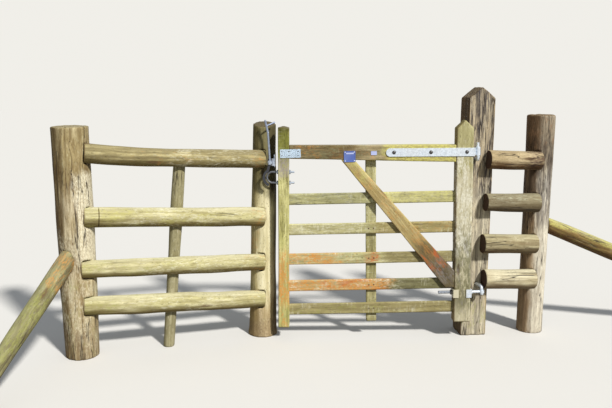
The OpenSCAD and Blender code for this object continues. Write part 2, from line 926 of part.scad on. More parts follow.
// The bracket's plate runs back along a flat of the post to Y = 0, with a tab across its front
// for the pivot
module latch_bracket() {
    seat_x = bracket_seat_x();
    tab_front = lever_front + lever_t + lever_gap;
    tab_back = tab_front + bracket_t;
    color("dimgray") {
        box([seat_x, tab_front, pivot_z - tab_h / 2], [seat_x + bracket_t, tab_back, pivot_z + tab_h / 2]);
        box([seat_x, tab_back, bracket_foot_z()], [seat_x + bracket_t, 0, bracket_top_z()]);
        box([pivot_x - latch_post_x - pivot_d, tab_front, pivot_z - tab_h / 2],
            [seat_x, tab_back, pivot_z + tab_h / 2]);
        pivot_frame()
            translate([0, tab_front, 0])
                rotate([90, 0, 0]) {
                    cylinder(h = lever_t + 2 * lever_gap + pivot_nut_h + pivot_end, d = pivot_d);
                    translate([0, 0, lever_t + 2 * lever_gap])
                        hex_nut(pivot_nut_w, pivot_nut_h, pivot_d / 2);
                }
    }
}

function bracket_foot_z() = pivot_z - bracket_h / 2 + bracket_raise;
function bracket_top_z() = pivot_z + bracket_h / 2 + bracket_raise;
// X of the flat, on a post whose middle has leant over at the pivot's height
function bracket_seat_x() =
    -latch_post_x + pivot_z * tan(latch_post_lean) + latch_post_r(pivot_z) - bracket_flat;

module bracket_seat() {
    box([bracket_seat_x(), -latch_post_y - latch_post_foot_r, bracket_foot_z() - over],
        [2 * latch_post_foot_r - latch_post_x, -latch_post_y + latch_post_foot_r, bracket_top_z() + over]);
}

// The hook's outline in X and Z from the pivot: an arm, then an arc round the loop's rest place
module lever_hook_outline() {
    middle = loop_from_pivot();
    hook_r = (loop_h + loop_d + hook_w) / 2 + hook_clear;
    root = middle + hook_r * [cos(hook_root_turn), sin(hook_root_turn)];
    hull() {
        circle(d = hook_w);
        translate(root)
            circle(d = hook_w);
    }
    translate(middle)
        rotate([0, 0, hook_root_turn])
            ring_arc(hook_tip_turn - hook_root_turn, hook_r, hook_w);
    translate(middle + hook_r * [cos(hook_tip_turn), sin(hook_tip_turn)])
        circle(d = hook_w);
}

// A flat arc of a ring, from +X anticlockwise
module ring_arc(turn, r, w) {
    steps = ceil(turn / arc_step);
    polygon([
        for (i = [0:steps]) (r - w / 2) * [cos(turn * i / steps), sin(turn * i / steps)],
        for (i = [steps:-1:0]) (r + w / 2) * [cos(turn * i / steps), sin(turn * i / steps)],
    ]);
}

// Hub, hook and bent handle turn on the bracket's pin
module latch_lever() {
    bend = [-handle_bend_x, 0, handle_bend_h];
    top = bend + [-handle_top_x, 0, handle_top_h];
    color("slategray")
        pivot_frame()
            translate([0, lever_front + lever_t / 2, 0])
                difference() {
                    union() {
                        rotate([90, 0, 0])
                            cylinder(h = lever_t, d = 2 * pivot_d, center = true);
                        profile_y(-hook_t / 2, hook_t / 2)
                            lever_hook_outline();
                        rod([0, 0, 0], bend, handle_d);
                        translate(bend)
                            sphere(d = handle_d + weld);
                        rod(bend, top, handle_d);
                        translate(top)
                            sphere(d = handle_d + weld);
                        translate(top - (grip_down / handle_top_h) * (top - bend))
                            rotate([0, 90 - grip_rise, grip_turn])
                                cylinder(h = grip_len, d = grip_d);
                    }
                    rotate([90, 0, 0])
                        cylinder(h = 4 * lever_t, d = pivot_d + pivot_fit, center = true);
                }
}

hinge_post();
latch_post();
left_post();
right_post();
prick_post();
left_rail(0);  // left_rail_1
left_rail(1);  // left_rail_2
left_rail(2);  // left_rail_3
left_rail(3);  // left_rail_4
right_rail(0);  // right_rail_1
right_rail(1);  // right_rail_2
right_rail(2);  // right_rail_3
right_rail(3);  // right_rail_4
left_strut();
right_strut();
top_hook();
bottom_hook();
latch_bracket();
hanging_stile();
closing_stile();
top_rail();
thin_rail(0);  // leaf_rail_2
thin_rail(1);  // leaf_rail_3
thin_rail(2);  // leaf_rail_4
thin_rail(3);  // leaf_rail_5
thin_rail(4);  // leaf_rail_6
middle_upright();
brace();
top_hinge_band();
bottom_eye_bolt();
edge_caps();
latch_loop();
mending_plate();
latch_lever();
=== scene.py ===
"""Looks of a timber hand gate between two post-and-rail wings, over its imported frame.

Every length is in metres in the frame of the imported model: the origin is the centre of the hinge
post's foot, X runs right along the closed leaf, Y away from the viewer and Z up.
"""

import logging
import math
from dataclasses import dataclass
from enum import Enum
from typing import Optional, Sequence, Union

import bmesh
import bpy
import numpy as np
from mathutils import Matrix, Vector


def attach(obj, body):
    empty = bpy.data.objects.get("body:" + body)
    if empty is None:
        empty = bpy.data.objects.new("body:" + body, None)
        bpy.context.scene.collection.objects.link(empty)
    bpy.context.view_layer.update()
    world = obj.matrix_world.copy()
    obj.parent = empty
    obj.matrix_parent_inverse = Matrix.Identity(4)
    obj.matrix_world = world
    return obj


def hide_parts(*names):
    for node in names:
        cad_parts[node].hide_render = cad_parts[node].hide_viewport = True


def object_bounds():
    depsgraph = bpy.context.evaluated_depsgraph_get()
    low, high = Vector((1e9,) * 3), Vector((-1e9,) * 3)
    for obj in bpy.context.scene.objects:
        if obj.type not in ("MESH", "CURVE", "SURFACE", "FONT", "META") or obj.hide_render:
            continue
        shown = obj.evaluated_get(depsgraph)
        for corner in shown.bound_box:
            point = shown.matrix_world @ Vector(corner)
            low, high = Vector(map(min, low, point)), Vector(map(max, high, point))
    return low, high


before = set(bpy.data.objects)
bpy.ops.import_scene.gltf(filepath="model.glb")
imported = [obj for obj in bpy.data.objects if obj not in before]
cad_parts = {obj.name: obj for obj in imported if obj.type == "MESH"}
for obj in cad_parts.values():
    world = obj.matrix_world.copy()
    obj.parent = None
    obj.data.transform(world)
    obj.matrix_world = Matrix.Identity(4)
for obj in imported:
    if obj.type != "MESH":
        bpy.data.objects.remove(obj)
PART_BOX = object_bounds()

log = logging.getLogger("hand_gate")

Rgb = tuple[float, float, float]
Point = tuple[float, float, float]
Ring = list[Point]

POSTS_BODY = "wings_and_posts"
LEAF_BODY = "leaf"

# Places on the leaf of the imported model
LEAF_SAG = math.radians(1.1)
LEAF_FRONT = -0.1745
LEAF_BACK = -0.0995
PIN_Y = (LEAF_FRONT + LEAF_BACK) / 2
STILE_LEFT = -0.137
STILE_RIGHT = -0.034

UNMOVED = Matrix.Identity(4)


class Lie(Enum):
    """How a timber's grain runs."""

    UPRIGHT = "upright"
    ALONG_LEAF = "along_leaf"
    LONGEST = "longest"


class Lay(Enum):
    """How a stain, painted shade or painted light lies on the wood, named by the colour mix that it takes.
    """

    FILM = "MIX"
    SOAK = "MULTIPLY"


class Metal(Enum):
    """The metal finishes of the ironwork."""

    ZINC = "zinc"
    DULL_ZINC = "dull_zinc"
    SPECKLED = "speckled_zinc"
    GREASED = "greased"
    ROD = "rod"
    RUSTED = "rusted"


class Head(Enum):
    """The outline of a fitting's head, from the middle of its face to its seat.

    Each point is a radius and a height, as shares of the head's radius.
    """

    BOLT = ((0.0, 0.55), (0.35, 0.52), (0.65, 0.40), (0.88, 0.22), (0.97, 0.10), (1.0, 0.04), (1.0, 0.0))
    NAIL = ((0.0, 0.26), (0.75, 0.24), (0.95, 0.15), (1.0, 0.0), (0.95, -0.1))


# Node graphs


@dataclass(frozen=True)
class Wire:
    """What a node puts out. Sums and products of numbers add Math nodes.

    Attributes:
        graph: The graph that it belongs to.
        socket: The node's output.
    """

    graph: "Graph"
    socket: bpy.types.NodeSocket

    def __add__(self, other: "Source") -> "Wire":
        """Adds a number."""
        return self.graph.math("ADD", self, other)

    def __sub__(self, other: "Source") -> "Wire":
        """Takes a number away."""
        return self.graph.math("SUBTRACT", self, other)

    def __rsub__(self, other: "Source") -> "Wire":
        """Takes this away from a number."""
        return self.graph.math("SUBTRACT", other, self)

    def __mul__(self, other: "Source") -> "Wire":
        """Multiplies by a number."""
        return self.graph.math("MULTIPLY", self, other)

    def __abs__(self) -> "Wire":
        """Drops the sign."""
        return self.graph.math("ABSOLUTE", self)

    def step(self, low: "Source", high: "Source") -> "Wire":
        """Compares this number smoothly.

        Args:
            low: Where the result is still 0.
            high: Where it reaches 1.

        Returns:
            The number from 0 to 1.
        """
        node = self.graph.add("ShaderNodeMapRange", interpolation_type="SMOOTHSTEP")
        self.graph.fill(node, Value=self, From_Min=low, From_Max=high)
        return self.graph.wires(node)["Result"]

    def rise(self, start: "Wire", width: float) -> "Wire":
        """Compares this number smoothly, from a start that is a wire itself.

        Args:
            start: Where the result is still 0.
            width: How far from there it reaches 1.

        Returns:
            The number from 0 to 1.
        """
        return self.step(start, start + width)


Source = Union[Wire, float, Sequence[float]]


class Graph:
    """A node tree with short ways to add nodes and join them."""

    def __init__(self, tree: bpy.types.NodeTree) -> None:
        """Wraps a tree.

        Args:
            tree: The node tree to build in.
        """
        self.tree = tree

    def add(self, kind: str, **settings: Union[str, bool]) -> bpy.types.Node:
        """Adds a node.

        Args:
            kind: The node's class name.
            settings: Attributes to set on it.

        Returns:
            The new node.
        """
        node = self.tree.nodes.new(kind)
        for name, value in settings.items():
            setattr(node, name, value)
        return node

    def wires(self, node: bpy.types.Node) -> dict[str, Wire]:
        """The outputs of a node by name."""
        return {socket.name: Wire(self, socket) for socket in node.outputs}

    def feed(self, target: bpy.types.NodeSocket, source: Source) -> None:
        """Links a wire into an input, or writes a plain value on it.

        Args:
            target: The input.
            source: A wire or a value.
        """
        if isinstance(source, Wire):
            self.tree.links.new(source.socket, target)
        elif isinstance(source, (int, float)):
            target.default_value = float(source)
        elif target.type == "RGBA":
            target.default_value = (*source, 1.0)
        else:
            target.default_value = source

    def fill(self, node: bpy.types.Node, **inputs: Source) -> None:
        """Feeds inputs of a node by name.

        Args:
            node: The node.
            inputs: A wire or a value for each named input, with _ for a space.
        """
        for name, source in inputs.items():
            self.feed(node.inputs[name.replace("_", " ")], source)

    def group(self, tree: bpy.types.NodeTree, **inputs: Source) -> dict[str, Wire]:
        """Places a node group with its inputs.

        Args:
            tree: The group's tree.
            inputs: A wire or a value for each named input, with _ for a space.

        Returns:
            The group's outputs by name.
        """
        node = self.add("ShaderNodeGroup")
        node.node_tree = tree
        self.fill(node, **inputs)
        return self.wires(node)

    def math(self, operation: str, a: Source, b: Source = 0.0, clamp: bool = False) -> Wire:
        """Adds a Math node.

        Args:
            operation: Its operation.
            a: The first number.
            b: The second number.
            clamp: Whether the result stays between 0 and 1.

        Returns:
            Its result.
        """
        node = self.add("ShaderNodeMath", operation=operation, use_clamp=clamp)
        self.feed(node.inputs[0], a)
        self.feed(node.inputs[1], b)
        return self.wires(node)["Value"]

    def vector(self, operation: str, a: Source, b: Optional[Source] = None) -> Wire:
        """Adds a Vector Math node.

        Args:
            operation: Its operation.
            a: The first vector.
            b: The second vector, where the operation takes one.

        Returns:
            Its result, which is a number for a length or a dot product.
        """
        node = self.add("ShaderNodeVectorMath", operation=operation)
        self.feed(node.inputs[0], a)
        if b is not None:
            self.feed(node.inputs[1], b)
        return self.wires(node)["Value" if operation in ("LENGTH", "DOT_PRODUCT") else "Vector"]

    def combine(self, x: Source, y: Source, z: Source) -> Wire:
        """Makes a vector of its three parts.

        Args:
            x: The part along X.
            y: The part along Y.
            z: The part along Z.

        Returns:
            The vector.
        """
        node = self.add("ShaderNodeCombineXYZ")
        self.fill(node, X=x, Y=y, Z=z)
        return self.wires(node)["Vector"]

    def split(self, vector: Source) -> tuple[Wire, ...]:
        """Takes a vector apart.

        Args:
            vector: The vector.

        Returns:
            Its parts along X, Y and Z.
        """
        node = self.add("ShaderNodeSeparateXYZ")
        self.fill(node, Vector=vector)
        return tuple(self.wires(node).values())

    def shifted(self, vector: Source, seed: Wire) -> Wire:
        """Moves coordinates to a place of their own, so that no two pieces share a figure.

        Args:
            vector: The coordinates.
            seed: Which place.

        Returns:
            The moved coordinates.
        """
        return self.vector("ADD", vector, self.vector("MULTIPLY", seed, (1.7, 2.7, 3.7)))

    def framed(self, vector: Source, place: Matrix) -> Wire:
        """Gives a vector of the row's frame in another frame.

        Args:
            vector: The vector.
            place: The other frame's matrix.

        Returns:
            The same vector in that frame.
        """
        node = self.add("ShaderNodeMapping", vector_type="TEXTURE")
        self.fill(node, Vector=vector, Location=place.translation, Rotation=place.to_euler())
        return self.wires(node)["Vector"]

    def noise(
        self, vector: Source, along: float, across: float, detail: float = 2.0, rough: float = 0.5
    ) -> Wire:
        """Adds a Noise Texture that is drawn out along X.

        Args:
            vector: The coordinates.
            along: Waves per metre along X.
            across: Waves per metre along Y and Z.
            detail: Its octaves.
            rough: How strong the finer octaves are.

        Returns:
            Its value, about 0.5 in the middle.
        """
        node = self.add("ShaderNodeTexNoise", noise_dimensions="3D")
        waves = self.vector("MULTIPLY", vector, (along, across, across))
        self.fill(node, Vector=waves, Scale=1.0, Detail=detail, Roughness=rough)
        return self.wires(node)["Fac"]

    def cells(self, vector: Source, along: float, across: float) -> dict[str, Wire]:
        """Adds a Voronoi Texture that is drawn out along X.

        Args:
            vector: The coordinates.
            along: Cells per metre along X.
            across: Cells per metre along Y and Z.

        Returns:
            Its outputs by name.
        """
        node = self.add("ShaderNodeTexVoronoi", voronoi_dimensions="3D", feature="F1")
        self.fill(node, Vector=self.vector("MULTIPLY", vector, (along, across, across)), Scale=1.0)
        return self.wires(node)

    def blend(self, factor: Source, a: Source, b: Source, mode: str = "MIX") -> Wire:
        """Adds a colour mix.

        Args:
            factor: The share of b.
            a: The first colour.
            b: The second colour.
            mode: The way they mix.

        Returns:
            The mixed colour.
        """
        node = self.add("ShaderNodeMix", data_type="RGBA", blend_type=mode)
        self.fill(node, Factor=factor)
        colours = [socket for socket in node.inputs if socket.type == "RGBA"]
        for target, source in zip(colours, (a, b)):
            self.feed(target, source)
        mixed = [socket for socket in node.outputs if socket.type == "RGBA"]
        return Wire(self, mixed[0])

    def cover(self, base: Source, mask: Wire, share: float, colour: Source) -> Wire:
        """Lays a colour over another where a mask is set.

        Args:
            base: The colour below.
            mask: Where the upper colour lies.
            share: How far it hides the lower one.
            colour: The upper colour.

        Returns:
            The mixed colour.
        """
        return self.blend(mask * share, base, colour)

    def bump(self, shader: bpy.types.Node, height: Wire, strength: float, depth: float) -> None:
        """Gives a shader's surface a fine relief.

        Args:
            shader: The shader's node.
            height: The height of the surface.
            strength: How strong the relief is.
            depth: Its depth in metres.
        """
        node = self.add("ShaderNodeBump")
        self.fill(node, Strength=strength, Distance=depth, Height=height)
        self.fill(shader, Normal=self.wires(node)["Normal"])


def start_material(name: str, colour: Rgb) -> tuple[bpy.types.Material, Graph, bpy.types.Node]:
    """Starts a material of nodes.

    Args:
        name: Its name.
        colour: Its colour in a plain view.

    Returns:
        The material, its graph and its shader.
    """
    material = bpy.data.materials.new(name)
    material.use_nodes = True
    material.diffuse_color = (*colour, 1.0)
    return material, Graph(material.node_tree), material.node_tree.nodes["Principled BSDF"]


class ShaderGroup:
    """A shader node group in the making, whose outputs are masks and heights."""

    def __init__(self, name: str, **inputs: Optional[float]) -> None:
        """Starts the group.

        Args:
            name: Its name.
            inputs: The default of each number, or None for a vector, with _ for a space in the name.
        """
        self.tree = bpy.data.node_groups.new(name, "ShaderNodeTree")
        self.graph = Graph(self.tree)
        for label, default in inputs.items():
            kind = "NodeSocketVector" if default is None else "NodeSocketFloat"
            title = label.replace("_", " ")
            socket = self.tree.interface.new_socket(title, in_out="INPUT", socket_type=kind)
            if default is not None:
                socket.default_value = default
        self.given = self.graph.wires(self.graph.add("NodeGroupInput"))

    def finish(self, **outputs: Wire) -> bpy.types.NodeTree:
        """Adds the outputs.

        Args:
            outputs: What feeds each output.

        Returns:
            The group's tree.
        """
        for label in outputs:
            self.tree.interface.new_socket(label, in_out="OUTPUT", socket_type="NodeSocketFloat")
        self.graph.fill(self.graph.add("NodeGroupOutput"), **outputs)
        return self.tree


class Patterns:
    """The shader node groups that the materials share, each built once."""

    def __init__(self) -> None:
        """Builds every group."""
        self.grain = self._grain()
        self.end_rings = self._end_rings()
        self.patchy_mask = self._patchy_mask()
        self.top_and_under_shade = self._top_and_under_shade()
        self.spangle = self._spangle()

    def _grain(self) -> bpy.types.NodeTree:
        """Builds the side grain, which runs along X.

        Returns:
            The group, which puts out streaks, fibres, patches, mottle, flecks, specks, saw marks,
            knots, cracks and a height.
        """
        group = ShaderGroup("side_grain", Vector=None, Seed=0.0, Crack_Amount=0.4)
        graph = group.graph
        place = graph.shifted(group.given["Vector"], group.given["Seed"])
        from_knot = graph.cells(place, along=2.3, across=9.0)["Distance"]
        wander = graph.noise(place, along=2.6, across=5.0, detail=1.0) - 0.5
        drift = wander * 0.05 + (1.0 - from_knot.step(0.05, 0.36)) * 0.014
        warped = graph.vector("ADD", place, graph.vector("MULTIPLY", drift, (0.0, 1.0, 0.7)))
        streak = graph.noise(warped, along=2.0, across=52.0, detail=5.0, rough=0.66).step(0.36, 0.62)
        fibre = graph.noise(warped, along=10.0, across=330.0, detail=3.0, rough=0.6).step(0.32, 0.68)
        patch = graph.noise(place, along=3.2, across=11.0, detail=3.0, rough=0.55).step(0.38, 0.60)
        mottle = graph.noise(warped, along=12.0, across=38.0, detail=5.0, rough=0.68).step(0.38, 0.60)
        fleck = graph.noise(warped, along=30.0, across=105.0, detail=4.0, rough=0.65).step(0.58, 0.65)
        speck = graph.noise(place, along=55.0, across=150.0, detail=3.0, rough=0.6).step(0.60, 0.68)
        saw = graph.noise(place, along=95.0, across=14.0, detail=4.0, rough=0.7).step(0.50, 0.66)
        sawn_part = graph.noise(place, along=5.0, across=15.0).step(0.46, 0.62)
        split = abs(graph.noise(warped, along=1.3, across=30.0, detail=3.0, rough=0.55) - 0.5)
        split_part = graph.noise(place, along=2.4, across=13.0, detail=1.0)
        split_part = split_part.rise(0.80 - group.given["Crack Amount"] * 0.5, 0.08)
        crack = graph.math("MULTIPLY", 1.0 - split.step(0.002, 0.017), split_part, clamp=True)
        return group.finish(
            Streak=streak,
            Fibre=fibre,
            Patch=patch,
            Mottle=mottle,
            Fleck=fleck,
            Speck=speck,
            Saw=saw * sawn_part,
            Knot=1.0 - from_knot.step(0.06, 0.13),
            Crack=crack,
            Height=streak * 0.5 + fibre * 0.35 - crack * 1.6,
        )

    def _end_rings(self) -> bpy.types.NodeTree:
        """Builds the sawn end of a timber: growth rings and checks round a pith off its centre.

        Returns:
            The group, which puts out the share of end grain, the rings and the checks.
        """
        group = ShaderGroup("end_rings", Vector=None, Normal=None, Seed=0.0)
        graph = group.graph
        pith_offset = 0.014
        ring_waves = 900.0
        seed = group.given["Seed"]
        flat = graph.vector("MULTIPLY", group.given["Vector"], (0.0, 1.0, 1.0))
        pith = graph.combine(
            0.0, graph.math("SINE", seed) * pith_offset, graph.math("COSINE", seed) * pith_offset
        )
        centred = graph.vector("ADD", flat, pith)
        radius = graph.vector("LENGTH", centred) + graph.noise(flat, along=1.0, across=22.0) * 0.012
        bent = graph.vector("MULTIPLY", flat, (0.0, 3.0, 3.0))
        turn = graph.vector("ADD", graph.vector("NORMALIZE", centred), bent)
        spoke = abs(graph.noise(turn, along=1.0, across=2.3, detail=1.0) - 0.5)
        along, _, _ = graph.split(group.given["Normal"])
        return group.finish(
            Mask=abs(along).step(0.62, 0.86),
            Ring=graph.math("SINE", radius * ring_waves) * 0.5 + 0.5,
            Check=1.0 - spoke.step(0.004, 0.03),
        )

    def _patchy_mask(self) -> bpy.types.NodeTree:
        """Builds a patchy mask on part of a timber, for algae and stains and for painted shade and light.

        Returns:
            The group, which puts out a mask.
        """
        group = ShaderGroup(
            "patchy_film",
            Vector=None,
            Normal=None,
            Facing=None,
            Seed=0.0,
            Start=0.0,
            End=1.0,
            Fade=0.1,
            Amount=0.5,
            Dapple=1.0,
            Stretch=1.0,
        )
        graph = group.graph
        given = group.given
        drawn_out = graph.combine(graph.math("DIVIDE", 1.0, given["Stretch"]), 1.0, 1.0)
        place = graph.vector("MULTIPLY", graph.shifted(given["Vector"], given["Seed"]), drawn_out)
        ragged = (graph.noise(place, along=7.0, across=24.0, detail=3.0) - 0.5) * 2.0
        along, _, _ = graph.split(given["Vector"])
        along = along + ragged * given["Fade"]
        span = along.step(given["Start"] - given["Fade"], given["Start"])
        span = span * (1.0 - along.step(given["End"], given["End"] + given["Fade"]))
        toward = graph.vector("DOT_PRODUCT", given["Normal"], given["Facing"])
        all_round = 1.0 - graph.vector("LENGTH", given["Facing"])
        side = (toward + ragged * 0.35).step(0.05, 0.6) + all_round
        broad = graph.noise(place, along=10.0, across=24.0, detail=4.0, rough=0.62)
        fine = graph.noise(place, along=42.0, across=130.0, detail=3.0, rough=0.6)
        spots = (broad * 0.55 + fine * 0.45).rise(0.61 - given["Amount"] * 0.34, 0.15)
        worn = graph.noise(place, along=75.0, across=150.0, detail=3.0, rough=0.65).step(0.40, 0.60)
        spots = spots * (1.0 - worn * given["Dapple"] * 0.6)
        covered = spots * graph.math("MINIMUM", side, 1.0)
        return group.finish(Mask=graph.math("MULTIPLY", covered, span, clamp=True))

    def _top_and_under_shade(self) -> bpy.types.NodeTree:
        """Builds the shares of a surface that look up at the sky or down at the ground; the downward share
        carries painted shade.

        Returns:
            The group, which puts out the two masks with broken edges.
        """
        group = ShaderGroup("sky_and_ground", Vector=None)
        graph = group.graph
        _, _, up = graph.split(graph.wires(graph.add("ShaderNodeNewGeometry"))["Normal"])
        ragged = graph.noise(group.given["Vector"], along=9.0, across=30.0, detail=3.0) - 0.5
        leaning = up + ragged * 0.7
        return group.finish(Top=leaning.step(0.5, 0.95), Under=(leaning * -1.0).step(0.02, 0.62))

    def _spangle(self) -> bpy.types.NodeTree:
        """Builds the surface of zinc: crystals, a dull film and small dark specks.

        Returns:
            The group, which puts out the crystals, the film, the specks and a height.
        """
        group = ShaderGroup("zinc_spangle", Vector=None, Seed=0.0, Speck_Amount=0.3, Fineness=1.0)
        graph = group.graph
        given = group.given
        sideways = graph.vector("MULTIPLY", given["Seed"], (1.0, 0.0, 0.0))
        place = graph.vector("ADD", given["Vector"], sideways)
        crystal, _, _ = graph.split(graph.cells(place, along=130.0, across=130.0)["Color"])
        film = graph.noise(place, along=14.0, across=14.0, detail=4.0, rough=0.6).step(0.38, 0.66)
        closer = graph.vector("MULTIPLY", place, given["Fineness"])
        speck = graph.noise(closer, along=95.0, across=95.0, detail=3.0, rough=0.6)
        speck = speck.rise(0.76 - given["Speck Amount"] * 0.3, 0.07)
        return group.finish(Crystal=crystal, Film=film, Speck=speck, Height=film * 0.3 - speck)


# Finishes

# Colours that every timber or plate shares
KNOT = (0.13, 0.075, 0.035)
OPEN_CRACK = (0.030, 0.022, 0.018)
END_CHECK = (0.02, 0.015, 0.01)
PLATE_DIRT = (0.10, 0.10, 0.09)

# Colours of stains
ORANGE = (0.62, 0.28, 0.065)
DEEP_ORANGE = (0.50, 0.13, 0.03)
MOSS = (0.32, 0.35, 0.07)
GREY_FILM = (0.30, 0.30, 0.26)
SOIL = (0.17, 0.11, 0.06)
PALE_LICHEN = (0.80, 0.79, 0.62)
PURPLE_GREY = (0.24, 0.22, 0.22)
YELLOW_GREEN = (0.56, 0.54, 0.16)
CHARCOAL = (0.13, 0.13, 0.19)

# Directions in the row's frame
LEFTWARD = (-1.0, 0.0, 0.0)
RIGHTWARD = (1.0, 0.0, 0.0)
TOWARDS = (0.0, -1.0, 0.0)
AWAY = (0.0, 1.0, 0.0)
UPWARD = (0.0, 0.0, 1.0)
DOWNWARD = (0.0, 0.0, -1.0)
AWAY_AND_RIGHT = (0.8, 0.6, 0.0)
TOWARDS_AND_DOWN = (0.0, -0.8, -0.6)
ALL_ROUND = (0.0, 0.0, 0.0)


@dataclass(frozen=True)
class Overlay:
    """A patchy film on part of a timber: mostly stains, and in some places painted shade or painted light.

    Attributes:
        colour: Its colour, or for a tint or painted shade what the wood's colour is multiplied by.
        start: Where it starts, along the grain from the timber's foot or left end.
        end: Where it ends.
        amount: How much of that length it covers.
        strength: How far it hides the wood.
        fade: The length over which it fades at its ends.
        facing: The way that the stained side faces in the row's frame.
        stretch: How much longer than usual its patches are, along the grain.
        lay: Whether it lies on the wood or multiplies its colour.
    """

    colour: Rgb
    start: float
    end: float
    amount: float = 0.5
    strength: float = 0.85
    fade: float = 0.08
    facing: Point = ALL_ROUND
    stretch: float = 1.0
    lay: Lay = Lay.FILM

    def laid(
        self, graph: Graph, patterns: Patterns, wood: Wire, here: Wire, normal: Wire, seed: float
    ) -> Wire:
        """Lays the overlay over the wood.

        Args:
            graph: Where the nodes go.
            patterns: The shared node groups.
            wood: The wood's colour.
            here: Coordinates in the grain's frame.
            normal: The surface's normal in the row's frame.
            seed: What tells the stain's patches from others.

        Returns:
            The stained colour.
        """
        film = graph.group(
            patterns.patchy_mask,
            Vector=here,
            Normal=normal,
            Facing=self.facing,
            Seed=seed,
            Start=self.start,
            End=self.end,
            Fade=self.fade,
            Amount=self.amount,
            Dapple=1.0 if self.lay is Lay.FILM else 0.0,
            Stretch=self.stretch,
        )
        return graph.blend(film["Mask"] * self.strength, wood, self.colour, self.lay.value)


@dataclass(frozen=True)
class SoakAndShade(Overlay):
    """A place where the wood's colour is multiplied: a tint, and in many places painted shade."""

    strength: float = 0.9
    fade: float = 0.10
    lay: Lay = Lay.SOAK


@dataclass(frozen=True)
class TimberFinish:
    """Weathered softwood.

    Attributes:
        light: Its palest wood.
        dark: Its darker streaks.
        patch: The colour of its broad patches.
        top: What lies on faces that look up.
        under_shade: Painted shade on faces that look down.
        end: The colour of its sawn ends.
        fleck: The colour of its small pale flecks.
        patch_share: How strong the patches are.
        streak_share: How strong the streaks are.
        mottle_share: How strong the mottle is.
        fleck_share: How strong the flecks are.
        saw_share: How strong the pale marks of the saw are, across the grain.
        top_share: How far the top colour covers.
        under_shade_share: How far the painted shade on faces that look down covers.
        crack: How many drying cracks it has.
        relief: The depth of its grain in metres.
    """

    light: Rgb
    dark: Rgb
    patch: Rgb
    top: Rgb
    under_shade: Rgb
    end: Rgb
    fleck: Rgb = (0.84, 0.82, 0.64)
    patch_share: float = 0.6
    streak_share: float = 0.75
    mottle_share: float = 0.4
    fleck_share: float = 0.6
    saw_share: float = 0.0
    top_share: float = 0.5
    under_shade_share: float = 0.8
    crack: float = 0.45
    relief: float = 0.0016

    def side_colour(self, graph: Graph, grain: dict[str, Wire], sides: dict[str, Wire]) -> Wire:
        """Mixes the colour of the wood's long faces.

        Args:
            graph: Where the nodes go.
            grain: The outputs of the grain group.
            sides: The outputs of the group that tells top from underside.

        Returns:
            The colour.
        """
        speck = tuple(0.35 * c for c in self.dark)
        colour = graph.cover(self.light, grain["Patch"], self.patch_share, self.patch)
        colour = graph.cover(colour, grain["Fleck"], self.fleck_share, self.fleck)
        colour = graph.cover(colour, 1.0 - grain["Streak"], self.streak_share, self.dark)
        colour = graph.cover(colour, 1.0 - grain["Mottle"], self.mottle_share, self.dark)
        colour = graph.cover(colour, 1.0 - grain["Fibre"], 0.3, self.dark)
        # Painted shade on faces that look down.
        colour = graph.cover(colour, sides["Under"], self.under_shade_share, self.under_shade)
        colour = graph.cover(colour, sides["Top"], self.top_share, self.top)
        colour = graph.cover(colour, grain["Speck"], 0.55, speck)
        return graph.cover(colour, grain["Knot"], 0.75, KNOT)

    def material(
        self, name: str, patterns: Patterns, seed: float, stains_and_shade: Sequence[Overlay], place: Matrix
    ) -> bpy.types.Material:
        """Builds the material of one timber.

        Args:
            name: The material's name.
            patterns: The shared node groups.
            seed: What tells this timber's figure from the others.
            stains_and_shade: Its stains, painted shade and painted light, in the order that they are laid
                on.
            place: The grain's frame, with X along it from the timber's foot or left end.

        Returns:
            The material.
        """
        material, graph, shader = start_material(name, self.light)
        spot = graph.wires(graph.add("ShaderNodeTexCoord"))
        here = graph.framed(spot["Object"], place)
        normal = graph.framed(spot["Normal"], place.to_3x3().to_4x4())
        grain = graph.group(patterns.grain, Vector=here, Seed=seed, Crack_Amount=self.crack)
        sides = graph.group(patterns.top_and_under_shade, Vector=here)
        rings = graph.group(patterns.end_rings, Vector=here, Normal=normal, Seed=seed)
        colour = self.side_colour(graph, grain, sides)
        for i, overlay in enumerate(stains_and_shade):
            colour = overlay.laid(graph, patterns, colour, here, spot["Normal"], seed + 3.1 * (i + 1))
        if self.saw_share:
            colour = graph.cover(colour, grain["Saw"], self.saw_share, self.fleck)
        sawn = graph.cover(self.end, rings["Ring"], 0.4, tuple(0.45 * c for c in self.end))
        sawn = graph.cover(sawn, rings["Check"], 0.8, END_CHECK)
        colour = graph.blend(rings["Mask"], colour, sawn)
        side_crack = grain["Crack"] * (1.0 - rings["Mask"])
        colour = graph.cover(colour, side_crack, 0.88, OPEN_CRACK)
        rough = grain["Streak"] * 0.12 + 0.80
        graph.fill(shader, Base_Color=colour, Roughness=rough, Specular_IOR_Level=0.25)
        graph.bump(shader, grain["Height"], 0.8, self.relief)
        return material


@dataclass(frozen=True)
class TarnishAndShade:
    """Darker or dirtier metal on one part of a piece, and in one place painted shade.

    Attributes:
        colour: Its colour.
        way: The direction in the row's frame in which it sets in.
        start: Where it starts to show in that direction.
        end: Where it is full.
        share: How far it covers.
    """

    colour: Rgb
    way: Point
    start: float
    end: float
    share: float


